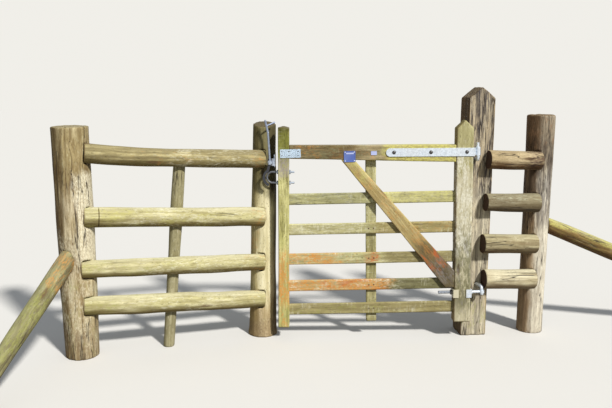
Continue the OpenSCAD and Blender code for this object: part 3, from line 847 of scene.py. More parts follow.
@dataclass(frozen=True)
class MetalFinish:
    """Zinc-coated, greased or rusted steel.

    Attributes:
        bright: Its clean colour.
        dull: Its film.
        speck: The colour of its specks.
        metallic: How metallic it is where clean.
        rough: Its roughness where clean.
        speck_amount: How much of it is specked.
        fineness: How much finer its specks are than usual.
    """

    bright: Rgb
    dull: Rgb
    speck: Rgb
    metallic: float
    rough: float
    speck_amount: float
    fineness: float = 1.0

    def material(
        self, name: str, patterns: Patterns, seed: float, tarnish_and_shade: Sequence[TarnishAndShade] = ()
    ) -> bpy.types.Material:
        """Builds the material.

        Args:
            name: The material's name.
            patterns: The shared node groups.
            seed: What tells this piece's spangle from the others.
            tarnish_and_shade: The parts of the piece that are darker: dirt, and in one place painted shade.

        Returns:
            The material.
        """
        material, graph, shader = start_material(name, self.bright)
        here = graph.wires(graph.add("ShaderNodeTexCoord"))["Object"]
        zinc = graph.group(
            patterns.spangle, Vector=here, Seed=seed, Speck_Amount=self.speck_amount, Fineness=self.fineness
        )
        colour = graph.cover(self.bright, zinc["Film"], 0.7, self.dull)
        colour = graph.blend(1.0, colour, zinc["Crystal"] * 0.26 + 0.86, "MULTIPLY")
        colour = graph.cover(colour, zinc["Speck"], 0.75, self.speck)
        clean = 1.0 - zinc["Speck"]
        for part in tarnish_and_shade:
            mask = graph.vector("DOT_PRODUCT", here, part.way).step(part.start, part.end)
            colour = graph.cover(colour, mask, part.share, part.colour)
            clean = clean * (1.0 - mask * 0.6)
        rough = zinc["Film"] * 0.2 + self.rough
        graph.fill(shader, Base_Color=colour, Metallic=clean * self.metallic, Roughness=rough)
        graph.bump(shader, zinc["Height"], 0.5, 0.0006)
        return material


@dataclass(frozen=True)
class PaintFinish:
    """Faded paint or plastic on a small plate.

    Attributes:
        name: Its name.
        colour: Its colour.
        faded: Its colour where the sun and dirt have worn it.
        rough: Its roughness.
    """

    name: str
    colour: Rgb
    faded: Rgb
    rough: float = 0.45

    def material(self, patterns: Patterns) -> bpy.types.Material:
        """Builds the material.

        Args:
            patterns: The shared node groups.

        Returns:
            The material.
        """
        material, graph, shader = start_material(self.name, self.colour)
        here = graph.wires(graph.add("ShaderNodeTexCoord"))["Object"]
        worn = graph.group(patterns.spangle, Vector=here, Seed=4.0, Speck_Amount=0.25)
        colour = graph.cover(self.colour, worn["Film"], 0.6, self.faded)
        colour = graph.cover(colour, worn["Speck"], 0.35, PLATE_DIRT)
        graph.fill(shader, Base_Color=colour, Roughness=worn["Film"] * 0.2 + self.rough)
        return material


LEFT_RAIL = TimberFinish(
    light=(0.74, 0.70, 0.44),
    dark=(0.26, 0.22, 0.09),
    patch=(0.52, 0.49, 0.21),
    top=(0.66, 0.63, 0.42),
    under_shade=(0.16, 0.12, 0.04),
    end=(0.50, 0.38, 0.20),
    fleck=(0.88, 0.86, 0.70),
    fleck_share=0.7,
    under_shade_share=0.9,
    crack=0.25,
)
TOP_LEFT_RAIL = TimberFinish(
    light=(0.55, 0.48, 0.25),
    dark=(0.135, 0.105, 0.045),
    patch=(0.35, 0.30, 0.115),
    top=(0.27, 0.23, 0.12),
    under_shade=(0.12, 0.09, 0.03),
    end=(0.42, 0.30, 0.14),
    fleck=(0.72, 0.70, 0.52),
    top_share=0.75,
    crack=0.3,
)
LEFT_POST = TimberFinish(
    light=(0.74, 0.66, 0.46),
    dark=(0.22, 0.15, 0.065),
    patch=(0.52, 0.41, 0.20),
    top=(0.42, 0.40, 0.22),
    under_shade=(0.25, 0.2, 0.1),
    end=(0.40, 0.34, 0.20),
    crack=0.72,
    relief=0.0034,
)
LATCH_POST = TimberFinish(
    light=(0.94, 0.89, 0.64),
    dark=(0.46, 0.40, 0.20),
    patch=(0.78, 0.73, 0.44),
    top=(0.20, 0.17, 0.09),
    under_shade=(0.25, 0.2, 0.1),
    end=(0.13, 0.105, 0.055),
    patch_share=0.4,
    streak_share=0.6,
    mottle_share=0.25,
    crack=0.35,
)
PRICK_POST = TimberFinish(
    light=(0.52, 0.49, 0.33),
    dark=(0.19, 0.165, 0.08),
    patch=(0.35, 0.32, 0.16),
    top=(0.4, 0.36, 0.2),
    under_shade=(0.2, 0.16, 0.07),
    end=(0.36, 0.29, 0.15),
)
HINGE_POST = TimberFinish(
    light=(0.84, 0.77, 0.58),
    dark=(0.18, 0.155, 0.13),
    patch=(0.58, 0.50, 0.35),
    top=(0.24, 0.16, 0.09),
    under_shade=(0.2, 0.15, 0.09),
    end=(0.30, 0.23, 0.14),
    fleck=(0.78, 0.74, 0.60),
    streak_share=0.6,
    mottle_share=0.3,
    crack=0.85,
    relief=0.0040,
)
RIGHT_POST = TimberFinish(
    light=(0.96, 0.92, 0.77),
    dark=(0.38, 0.325, 0.25),
    patch=(0.78, 0.72, 0.57),
    top=(0.26, 0.2, 0.12),
    under_shade=(0.2, 0.15, 0.09),
    end=(0.25, 0.18, 0.10),
    crack=0.7,
    relief=0.0030,
)
RIGHT_RAIL = TimberFinish(
    light=(0.80, 0.75, 0.54),
    dark=(0.26, 0.20, 0.11),
    patch=(0.60, 0.53, 0.32),
    top=(0.70, 0.66, 0.47),
    under_shade=(0.14, 0.095, 0.05),
    # The end colour is painted shade on the rails' end faces.
    end=(0.055, 0.028, 0.016),
    crack=0.6,
)
LEFT_STRUT = TimberFinish(
    light=(0.42, 0.40, 0.23),
    dark=(0.12, 0.10, 0.05),
    patch=(0.29, 0.28, 0.12),
    top=(0.36, 0.35, 0.18),
    under_shade=(0.12, 0.09, 0.04),
    end=(0.40, 0.29, 0.14),
    fleck=(0.58, 0.58, 0.46),
    mottle_share=0.6,
    crack=0.5,
)
RIGHT_STRUT = TimberFinish(
    light=(0.57, 0.52, 0.30),
    dark=(0.16, 0.12, 0.055),
    patch=(0.40, 0.34, 0.15),
    top=(0.52, 0.49, 0.24),
    under_shade=(0.15, 0.09, 0.045),
    end=(0.40, 0.29, 0.14),
    crack=0.75,
)
STILE = TimberFinish(
    light=(0.76, 0.72, 0.54),
    dark=(0.34, 0.30, 0.18),
    patch=(0.60, 0.56, 0.37),
    top=(0.42, 0.41, 0.13),
    under_shade=(0.25, 0.2, 0.1),
    end=(0.36, 0.32, 0.14),
    patch_share=0.5,
    streak_share=0.55,
    crack=0.3,
)
CLOSING = TimberFinish(
    light=(0.78, 0.75, 0.36),
    dark=(0.27, 0.255, 0.08),
    patch=(0.62, 0.60, 0.19),
    top=(0.22, 0.21, 0.09),
    under_shade=(0.25, 0.2, 0.1),
    end=(0.16, 0.14, 0.07),
    fleck=(0.84, 0.81, 0.58),
    streak_share=0.8,
    saw_share=0.14,
    crack=0.35,
)
TOP_RAIL = TimberFinish(
    light=(0.52, 0.44, 0.26),
    dark=(0.16, 0.115, 0.05),
    patch=(0.36, 0.275, 0.11),
    top=(0.46, 0.43, 0.30),
    under_shade=(0.34, 0.29, 0.08),
    end=(0.3, 0.25, 0.12),
    fleck=(0.62, 0.58, 0.42),
    saw_share=0.25,
    top_share=0.75,
    crack=0.4,
)
THIN_RAIL = TimberFinish(
    light=(0.70, 0.67, 0.38),
    dark=(0.26, 0.235, 0.11),
    patch=(0.52, 0.50, 0.22),
    top=(0.56, 0.54, 0.27),
    under_shade=(0.20, 0.17, 0.06),
    end=(0.42, 0.35, 0.18),
    fleck=(0.86, 0.85, 0.66),
    fleck_share=0.7,
    streak_share=0.7,
    saw_share=0.35,
    crack=0.3,
)
BRACE = TimberFinish(
    light=(0.64, 0.55, 0.28),
    dark=(0.29, 0.21, 0.08),
    patch=(0.50, 0.39, 0.15),
    top=(0.52, 0.43, 0.20),
    under_shade=(0.20, 0.12, 0.05),
    end=(0.40, 0.3, 0.15),
    fleck=(0.74, 0.66, 0.44),
    streak_share=0.65,
    crack=0.2,
)

# Stains of each timber, with painted shade and painted light among them
TIMBER_STAINS_AND_SHADE = {
    "hinge_post": (
        SoakAndShade((0.88, 0.82, 0.76), 1.02, 1.7, amount=0.80),
        SoakAndShade(CHARCOAL, 0.94, 1.56, amount=0.46, strength=0.97, fade=0.05, facing=TOWARDS, stretch=3.5),
        SoakAndShade((0.34, 0.33, 0.37), 0.20, 0.90, amount=0.36, facing=TOWARDS, stretch=3.5),
        # Painted shade on the left face.
        SoakAndShade((0.26, 0.18, 0.12), 0.0, 1.7, amount=1.3, strength=0.95, facing=LEFTWARD),
        SoakAndShade((0.85, 0.73, 0.53), 0.0, 1.7, amount=1.0, strength=0.8, facing=RIGHTWARD),
        Overlay(MOSS, 0.0, 0.22, amount=0.40, strength=0.5),
    ),
    "latch_post": (
        # Painted shade: the left side, the top of the right side, the back-right flank in the closing
        # stile's shadow, and the whole top.
        SoakAndShade((0.60, 0.54, 0.38), 0.0, 1.4, amount=0.9, facing=LEFTWARD),
        SoakAndShade((0.34, 0.32, 0.28), 0.93, 1.5, amount=1.2, facing=RIGHTWARD),
        SoakAndShade((0.16, 0.13, 0.09), 0.04, 0.98, amount=1.3, strength=0.95, fade=0.06, facing=AWAY_AND_RIGHT),
        SoakAndShade((0.21, 0.20, 0.13), 1.00, 1.5, amount=1.1, fade=0.16),
        SoakAndShade((0.60, 0.50, 0.42), -0.1, 0.20, amount=1.0, fade=0.12),
        Overlay(ORANGE, 0.55, 0.68, amount=0.45, strength=0.6, fade=0.05, facing=LEFTWARD),
        Overlay(SOIL, -0.1, 0.07, amount=0.9, strength=0.6),
    ),
    "left_post": (
        # Painted shade on the left side.
        SoakAndShade((0.36, 0.30, 0.20), 0.0, 1.4, amount=1.0, facing=LEFTWARD),
        SoakAndShade((0.30, 0.19, 0.11), 0.60, 1.12, amount=0.40, fade=0.08, stretch=4.0),
        SoakAndShade((0.80, 0.78, 0.66), 1.05, 1.5, amount=0.8, fade=0.12),
        # Painted light on the right side.
        Overlay((0.90, 0.85, 0.66), 0.60, 1.06, amount=0.85, fade=0.06, facing=RIGHTWARD),
        Overlay((0.78, 0.72, 0.52), 0.15, 0.70, strength=0.7, fade=0.10),
        Overlay(MOSS, 0.0, 0.45, amount=0.35, strength=0.4),
        Overlay(SOIL, -0.1, 0.15, amount=0.7, strength=0.5),
    ),
    "right_post": (
        # Painted shade: the top, dappled patches below it and the left side.
        SoakAndShade((0.38, 0.33, 0.28), 1.12, 1.5, amount=1.00, fade=0.12),
        SoakAndShade((0.34, 0.33, 0.36), 0.74, 1.22, amount=0.62, stretch=3.0),
        SoakAndShade((0.48, 0.34, 0.22), 0.0, 1.5, amount=1.1, facing=LEFTWARD),
        Overlay((0.30, 0.17, 0.09), 1.26, 1.5, amount=0.35, strength=0.6),
    ),
    "left_strut": (
        Overlay(MOSS, 0.1, 0.9, strength=0.5),
        Overlay(ORANGE, 0.94, 1.2, amount=0.45, strength=0.7, fade=0.04),
    ),
    "right_strut": (
        SoakAndShade((0.58, 0.42, 0.26), -0.1, 2.0, amount=0.80, facing=TOWARDS_AND_DOWN, stretch=3.0),
        Overlay(YELLOW_GREEN, 0.0, 1.9, amount=0.55, strength=0.7, fade=0.10, facing=UPWARD),
        Overlay(MOSS, 0.1, 1.6, amount=0.3, strength=0.4),
    ),
    "left_rail_1": (
        Overlay(PALE_LICHEN, 0.5, 0.95, amount=0.40, strength=0.55),
        Overlay(ORANGE, 1.00, 1.2, amount=0.35, strength=0.6),
        Overlay(ORANGE, 0.25, 0.62, amount=0.20, strength=0.5),
    ),
    "left_rail_2": (
        Overlay(YELLOW_GREEN, 0.0, 0.7, amount=0.40, strength=0.5),
        Overlay(PALE_LICHEN, 0.30, 0.90, amount=0.35, strength=0.6),
        Overlay(ORANGE, 1.04, 1.2, amount=0.40, strength=0.5),
        Overlay(ORANGE, 0.35, 0.60, amount=0.16, strength=0.5, fade=0.05, facing=DOWNWARD),
        SoakAndShade((0.16, 0.11, 0.04), 0.078, 0.081, amount=2.0, fade=0.003, facing=TOWARDS),
    ),
    "left_rail_3": (
        Overlay(MOSS, 0.0, 0.5, amount=0.35, strength=0.4),
        Overlay(PALE_LICHEN, 0.35, 1.00, amount=0.35, strength=0.5),
        Overlay(ORANGE, 1.02, 1.2, amount=0.40, strength=0.5),
    ),
    "left_rail_4": (
        Overlay(MOSS, 0.0, 0.3, amount=0.3, strength=0.4),
        Overlay(PALE_LICHEN, 0.30, 0.90, amount=0.30, strength=0.5),
        Overlay(ORANGE, 1.02, 1.2, amount=0.30, strength=0.45),
    ),
    "right_rail_1": (
        SoakAndShade((0.72, 0.62, 0.52), -0.1, 0.5, amount=1.0),
        SoakAndShade((0.55, 0.38, 0.24), -0.1, 0.5, amount=0.55, fade=0.04, facing=DOWNWARD),
        SoakAndShade((0.34, 0.28, 0.32), 0.25, 0.5, amount=0.55, fade=0.03),
    ),
    "right_rail_2": (
        # Painted shade over the whole rail.
        SoakAndShade((0.43, 0.41, 0.37), -0.1, 0.5, amount=1.1),
        Overlay((0.62, 0.66, 0.50), -0.1, 0.5, amount=0.35, strength=0.4, fade=0.1, facing=UPWARD),
    ),
    "right_rail_3": (SoakAndShade((0.70, 0.68, 0.60), -0.1, 0.5, amount=0.9),),
    "leaf_rail_2": (
        SoakAndShade((0.90, 0.93, 0.96), -0.1, 0.5, amount=0.8, fade=0.15),
        Overlay(GREY_FILM, 0.0, 0.6, amount=0.42, strength=0.5),
        Overlay((0.68, 0.66, 0.22), 0.62, 1.2, amount=0.6, strength=0.6),
        SoakAndShade((0.45, 0.47, 0.34), 0.02, 0.62, amount=0.28, strength=0.8, fade=0.05),
    ),
    "leaf_rail_3": (
        Overlay(PALE_LICHEN, 0.1, 0.5, amount=0.45, strength=0.6),
        SoakAndShade((0.76, 0.66, 0.56), 0.62, 1.2, amount=0.8),
        Overlay(ORANGE, 0.85, 1.0, amount=0.35, strength=0.45),
    ),
    "leaf_rail_4": (
        Overlay(ORANGE, 0.05, 0.28, amount=0.62, strength=1.0),
        Overlay(ORANGE, 0.28, 0.48, amount=0.34, strength=0.9),
        Overlay(DEEP_ORANGE, 0.53, 0.58, amount=0.65, strength=0.9, fade=0.03),
        SoakAndShade((0.66, 0.60, 0.56), 0.66, 1.2, amount=0.8),
    ),
    "leaf_rail_5": (
        # Painted shade on the right part.
        SoakAndShade((0.34, 0.34, 0.32), 0.62, 1.2, amount=0.95),
        Overlay(ORANGE, 0.04, 0.62, amount=0.80, strength=0.95),
        Overlay(DEEP_ORANGE, 0.28, 0.58, amount=0.42, strength=0.9),
        Overlay(GREY_FILM, 0.05, 0.70, amount=0.22, strength=0.6),
        Overlay(PALE_LICHEN, 0.05, 0.70, amount=0.32, strength=0.8),
    ),
    "leaf_rail_6": (
        SoakAndShade((0.70, 0.63, 0.58), -0.1, 1.2, amount=0.85),
        Overlay(MOSS, 0.0, 0.6, amount=0.35, strength=0.4),
    ),
    "hanging_stile": (
        SoakAndShade((0.74, 0.74, 0.52), 1.02, 1.4, amount=0.9, fade=0.12),
        # Grey weathering and painted shade on the lower part.
        SoakAndShade((0.36, 0.37, 0.29), 0.14, 0.50, amount=0.72, fade=0.12),
        Overlay(PURPLE_GREY, 0.14, 0.60, amount=0.34, strength=0.6, fade=0.12),
        # Painted shade on the left face.
        SoakAndShade((0.55, 0.44, 0.32), -0.1, 1.3, amount=1.0, facing=LEFTWARD),
        Overlay((0.86, 0.85, 0.74), 0.52, 1.0, amount=0.55, strength=0.7, fade=0.12),
    ),
    "closing_stile": (
        SoakAndShade((0.38, 0.34, 0.30), 1.25, 1.4, amount=1.1, fade=0.08),
        SoakAndShade((0.46, 0.50, 0.24), 1.08, 1.4, amount=0.9),
        SoakAndShade((0.30, 0.26, 0.14), 0.62, 1.4, amount=0.36, fade=0.05, stretch=4.0),
        Overlay((0.34, 0.30, 0.30), 0.97, 1.05, amount=0.80, strength=0.8, fade=0.04),
        Overlay(ORANGE, 0.20, 0.44, amount=0.66, strength=1.0, fade=0.10),
        Overlay(ORANGE, 0.04, 0.30, amount=0.34, strength=0.8, fade=0.10),
        Overlay(PALE_LICHEN, 0.2, 0.5, amount=0.25, strength=0.6),
    ),
    "top_rail": (
        # Darker brown wood and painted shade on the left part.
        SoakAndShade((0.48, 0.43, 0.36), -0.1, 0.40, amount=0.95, fade=0.12),
        Overlay((0.34, 0.15, 0.04), 0.05, 0.44, amount=0.24, strength=0.7),
        Overlay((0.24, 0.26, 0.14), 0.05, 0.60, amount=0.40, strength=0.6, facing=TOWARDS),
        Overlay(ORANGE, 0.12, 0.22, amount=0.36, strength=0.7, fade=0.04),
        Overlay(ORANGE, 0.45, 0.64, amount=0.28, strength=0.7, fade=0.05),
        Overlay((0.66, 0.63, 0.17), 0.66, 1.2, amount=1.1, strength=0.8, fade=0.06),
    ),
    "middle_upright": (SoakAndShade((0.68, 0.66, 0.58), -0.1, 0.52, amount=0.85),),
    "brace": (
        # Painted shade on the lower end.
        SoakAndShade((0.34, 0.33, 0.35), 0.80, 1.3, amount=1.0, strength=0.95, fade=0.16),
        SoakAndShade((0.66, 0.66, 0.66), 0.92, 1.3, amount=0.9, fade=0.08),
        Overlay(ORANGE, 0.22, 0.72, amount=0.38, strength=0.5, fade=0.12),
        Overlay((0.50, 0.12, 0.03), 0.81, 0.90, amount=0.52, strength=0.92, fade=0.05, stretch=2.0),
        Overlay(YELLOW_GREEN, -0.1, 0.16, amount=0.6, strength=0.5, fade=0.06),
        Overlay(PURPLE_GREY, 0.88, 1.3, amount=0.55, strength=0.6),
    ),
}

METALS = {
    Metal.ZINC: MetalFinish(
        bright=(0.72, 0.78, 0.86),
        dull=(0.56, 0.63, 0.72),
        speck=(0.22, 0.24, 0.26),
        metallic=0.55,
        rough=0.34,
        speck_amount=0.25,
    ),
    Metal.DULL_ZINC: MetalFinish(
        bright=(0.46, 0.52, 0.62),
        dull=(0.33, 0.39, 0.48),
        speck=(0.12, 0.13, 0.15),
        metallic=0.6,
        rough=0.42,
        speck_amount=0.7,
    ),
    Metal.SPECKLED: MetalFinish(
        bright=(0.64, 0.78, 0.94),
        dull=(0.48, 0.62, 0.78),
        speck=(0.12, 0.16, 0.20),
        metallic=0.45,
        rough=0.38,
        speck_amount=0.85,
        fineness=2.2,
    ),
    Metal.GREASED: MetalFinish(
        bright=(0.10, 0.10, 0.105),
        dull=(0.045, 0.042, 0.04),
        speck=(0.02, 0.016, 0.012),
        metallic=0.7,
        rough=0.3,
        speck_amount=0.8,
    ),
    Metal.ROD: MetalFinish(
        bright=(0.30, 0.35, 0.46),
        dull=(0.20, 0.24, 0.33),
        speck=(0.08, 0.08, 0.09),
        metallic=0.6,
        rough=0.45,
        speck_amount=0.45,
    ),
    Metal.RUSTED: MetalFinish(
        bright=(0.14, 0.085, 0.055),
        dull=(0.09, 0.045, 0.025),
        speck=(0.05, 0.02, 0.012),
        metallic=0.3,
        rough=0.6,
        speck_amount=0.8,
    ),
}

NODE_TARNISH_AND_SHADE = {
    "latch_lever": (
        TarnishAndShade((0.022, 0.022, 0.026), DOWNWARD, start=-1.125, end=-1.100, share=0.95),
        # Painted shade on the rod's top.
        TarnishAndShade((0.06, 0.085, 0.19), UPWARD, start=1.30, end=1.44, share=0.6),
    ),
    "latch_bracket": (TarnishAndShade((0.05, 0.042, 0.036), (-1.0, 1.0, 0.0), start=1.116, end=1.126, share=0.9),),
    "latch_loop": (TarnishAndShade((0.05, 0.05, 0.055), LEFTWARD, start=1.235, end=1.265, share=0.8),),
    "bottom_eye_bolt": (TarnishAndShade((0.085, 0.075, 0.062), LEFTWARD, start=0.120, end=0.150, share=0.9),),
    "edge_caps": (TarnishAndShade((0.62, 0.56, 0.34), LEFTWARD, start=0.055, end=0.085, share=0.8),),
}

PLAQUE_BLUE = PaintFinish("plaque_blue", (0.085, 0.135, 0.42), (0.15, 0.22, 0.50))
PLAQUE_PALE = PaintFinish("plaque_pale", (0.48, 0.54, 0.84), (0.36, 0.42, 0.74))


# Shapes

# Waves per metre of the timbers' unevenness, along the grain and across it
LONG_WAVES = (2.4, 4.0, 4.0)
MIDDLE_WAVES = (6.5, 14.0, 14.0)
SHORT_WAVES = (7.0, 55.0, 55.0)
END_WAVES = (0.0, 42.0, 42.0)


def value_noise(points: np.ndarray, seed: int) -> np.ndarray:
    """Smooth noise at many points.

    Args:
        points: Coordinates, one row each, in waves.
        seed: Which noise.

    Returns:
        A value between -1 and 1 for each point.
    """
    axis_primes = (73856093, 19349663, 83492791)
    seed_prime = 2654435761
    cell = np.floor(points).astype(np.int64)
    part = points - cell
    part = part * part * (3.0 - 2.0 * part)
    total = np.zeros(len(points))
    for corner in range(8):
        step = np.array([corner & 1, corner >> 1 & 1, corner >> 2 & 1])
        code = np.full(len(points), seed * seed_prime)
        for axis, prime in enumerate(axis_primes):
            code ^= (cell[:, axis] + step[axis]) * prime
        for shift, prime in ((13, 1274126177), (16, 60493)):
            code = (code ^ (code >> shift)) * prime & 0x7FFFFFFF
        weight = np.prod(np.where(step == 1, part, 1.0 - part), axis=1)
        total += weight * (code / 0x3FFFFFFF - 1.0)
    return total


def new_object(name: str, mesh: bpy.types.Mesh, place: Optional[Matrix] = None) -> bpy.types.Object:
    """Adds an object to the scene.

    Args:
        name: Its name.
        mesh: Its mesh.
        place: Its matrix, or None for the origin.

    Returns:
        The object.
    """
    item = bpy.data.objects.new(name, mesh)
    bpy.context.scene.collection.objects.link(item)
    if place is not None:
        item.matrix_world = place
    return item


def leaf_point(x: float, y: float, z: float) -> Vector:
    """A place in the leaf's own frame, which sags at its closing end.

    Args:
        x: Along the leaf.
        y: Through the leaf.
        z: Up the leaf.

    Returns:
        The same place in the row's frame.
    """
    c = math.cos(LEAF_SAG)
    s = math.sin(LEAF_SAG)
    return Vector((x * c - z * s, y, x * s + z * c))


def facing(at: Vector, direction: Sequence[float]) -> Matrix:
    """A matrix whose Z points a way.

    Args:
        at: Its origin.
        direction: Where Z points.

    Returns:
        The matrix.
    """
    return Matrix.Translation(at) @ Vector(direction).to_track_quat("Z", "Y").to_matrix().to_4x4()


def circle(radius: float, height: float, sides: int) -> Ring:
    """Points evenly round Z, or one point where the radius is 0.

    Args:
        radius: Their distance from Z.
        height: Their height.
        sides: How many there are.

    Returns:
        The points.
    """
    if radius == 0.0:
        return [(0.0, 0.0, height)]
    angles = [2 * math.pi * i / sides for i in range(sides)]
    return [(radius * math.cos(angle), radius * math.sin(angle), height) for angle in angles]


def add_skin(work: bmesh.types.BMesh, rings: Sequence[Ring], place: Matrix = UNMOVED) -> None:
    """Joins rings of points into a closed skin.

    Args:
        work: The mesh that it is added to.
        rings: The rings, each with as many points, of which the first may be one point.
        place: Where the skin goes.
    """
    rows = [[work.verts.new(place @ Vector(point)) for point in ring] for ring in rings]
    count = len(rows[-1])
    for lower, upper in zip(rows, rows[1:]):
        for i in range(count):
            j = (i + 1) % count
            if len(lower) == 1:
                work.faces.new((lower[0], upper[j], upper[i]))
            else:
                work.faces.new((lower[i], lower[j], upper[j], upper[i]))
    for end in (rows[0], rows[-1]):
        if len(end) > 1:
            work.faces.new(end)


def finish_mesh(work: bmesh.types.BMesh, name: str, smooth: bool) -> bpy.types.Mesh:
    """Turns the faces outward and makes the mesh.

    Args:
        work: What is turned into a mesh.
        name: The mesh's name.
        smooth: Whether its faces are shaded smooth.

    Returns:
        The mesh.
    """
    bmesh.ops.recalc_face_normals(work, faces=work.faces)
    for face in work.faces:
        face.smooth = smooth
    mesh = bpy.data.meshes.new(name)
    work.to_mesh(mesh)
    work.free()
    return mesh


def heads(name: str, shape: Head, radius: float, sides: int, places: Sequence[Matrix]) -> bpy.types.Mesh:
    """Turned heads of bolts, nails or screws, as one mesh.

    Args:
        name: The mesh's name.
        shape: Their outline.
        radius: Their radius.
        sides: How many sides each turning has.
        places: The matrix of each head, whose Z is its way out.

    Returns:
        The mesh.
    """
    rings = [circle(share * radius, height * radius, sides) for share, height in shape.value]
    work = bmesh.new()
    for place in places:
        add_skin(work, rings, place)
    return finish_mesh(work, name, smooth=True)


def hex_nut(name: str, across: float, thick: float, bolt: float) -> bpy.types.Mesh:
    """A nut with chamfered corners and the end of a bolt in it.

    Args:
        name: The mesh's name.
        across: Its width across the flats.
        thick: Its thickness.
        bolt: The bolt's radius.

    Returns:
        The mesh, standing on its seat.
    """
    sides = 12
    flat = math.cos(math.radians(30))
    corner = across / 2 / flat
    bolt_out = 0.004
    bolt_tip = 0.0055
    rings = []
    for height in (0.0, 0.8 * thick):
        ring = circle(corner, height, sides)
        for i in range(1, sides, 2):
            ring[i] = (ring[i][0] * flat, ring[i][1] * flat, height)
        rings.append(ring)
    for radius, height in ((0.88 * corner, 0.0), (bolt, 0.0), (bolt, bolt_out), (0.8 * bolt, bolt_tip)):
        rings.append(circle(radius, thick + height, sides))
    work = bmesh.new()
    add_skin(work, rings)
    return finish_mesh(work, name, smooth=False)


def thread(name: str, root: float, crest: float, length: float, pitch: float) -> bpy.types.Mesh:
    """A length of screw thread along Z, closed at both ends.

    Args:
        name: The mesh's name.
        root: The radius between its crests.
        crest: The crests' radius.
        length: Its length.
        pitch: From crest to crest.

    Returns:
        The mesh, standing on its end.
    """
    sides = 24
    rows_per_turn = 8
    rows = round(length / pitch) * rows_per_turn
    rings = []
    for i in range(rows + 1):
        height = length * i / rows
        ring = []
        for j, (x, y, z) in enumerate(circle(1.0, height, sides)):
            wave = math.cos(2 * math.pi * (height / pitch - j / sides))
            radius = (root + crest) / 2 + (crest - root) / 2 * wave
            ring.append((x * radius, y * radius, z))
        rings.append(ring)
    work = bmesh.new()
    add_skin(work, rings)
    return finish_mesh(work, name, smooth=True)


@dataclass(frozen=True)
class Plate:
    """A small plate with rounded corners on the front of the top rail.

    Attributes:
        name: The object's name.
        paint: Its paint.
        x: The place of its middle along the row.
        z: The height of its middle.
        wide: Its width.
        tall: Its height.
        thick: Its thickness.
        corner: The radius of its corners.
        rim: The width of its raised rim, or 0.
        proud: How far its back stands off the rail's front.
    """

    name: str
    paint: PaintFinish
    x: float
    z: float
    wide: float
    tall: float
    thick: float
    corner: float
    rim: float = 0.0
    proud: float = 0.0

    def outline(self, inset: float, depth: float) -> Ring:
        """The plate's outline at one level.

        Args:
            inset: How far it is drawn in from the edge.
            depth: How far it lies in front of the plate's back.

        Returns:
            The outline's points.
        """
        least_corner = 0.0008
        radius = max(self.corner - inset, least_corner)
        spots = []
        for turn in range(4):
            sign_x = 1 if turn in (0, 3) else -1
            sign_z = 1 if turn in (0, 1) else -1
            for step in range(6):
                angle = math.radians(90 * turn + 18 * step)
                x = sign_x * (self.wide / 2 - inset - radius) + radius * math.cos(angle)
                z = sign_z * (self.tall / 2 - inset - radius) + radius * math.sin(angle)
                spots.append((x, -depth, z))
        return spots

    def mesh(self) -> bpy.types.Mesh:
        """Builds the plate.

        Returns:
            The mesh, lying in X and Z with its back on Y = 0 and its front towards -Y.
        """
        levels = [(0.0, 0.0), (0.0, 0.7 * self.thick), (0.25 * self.thick, self.thick)]
        if self.rim:
            levels += [(self.rim, self.thick), (self.rim + 0.3 * self.thick, 0.6 * self.thick)]
        work = bmesh.new()
        add_skin(work, [self.outline(inset, depth) for inset, depth in levels])
        return finish_mesh(work, self.name, smooth=False)

    def place(self) -> Matrix:
        """The plate's matrix, level with the sagging rail."""
        spot = Matrix.Translation((self.x, LEAF_FRONT - self.proud, self.z))
        return spot @ Matrix.Rotation(-LEAF_SAG, 4, "Y")


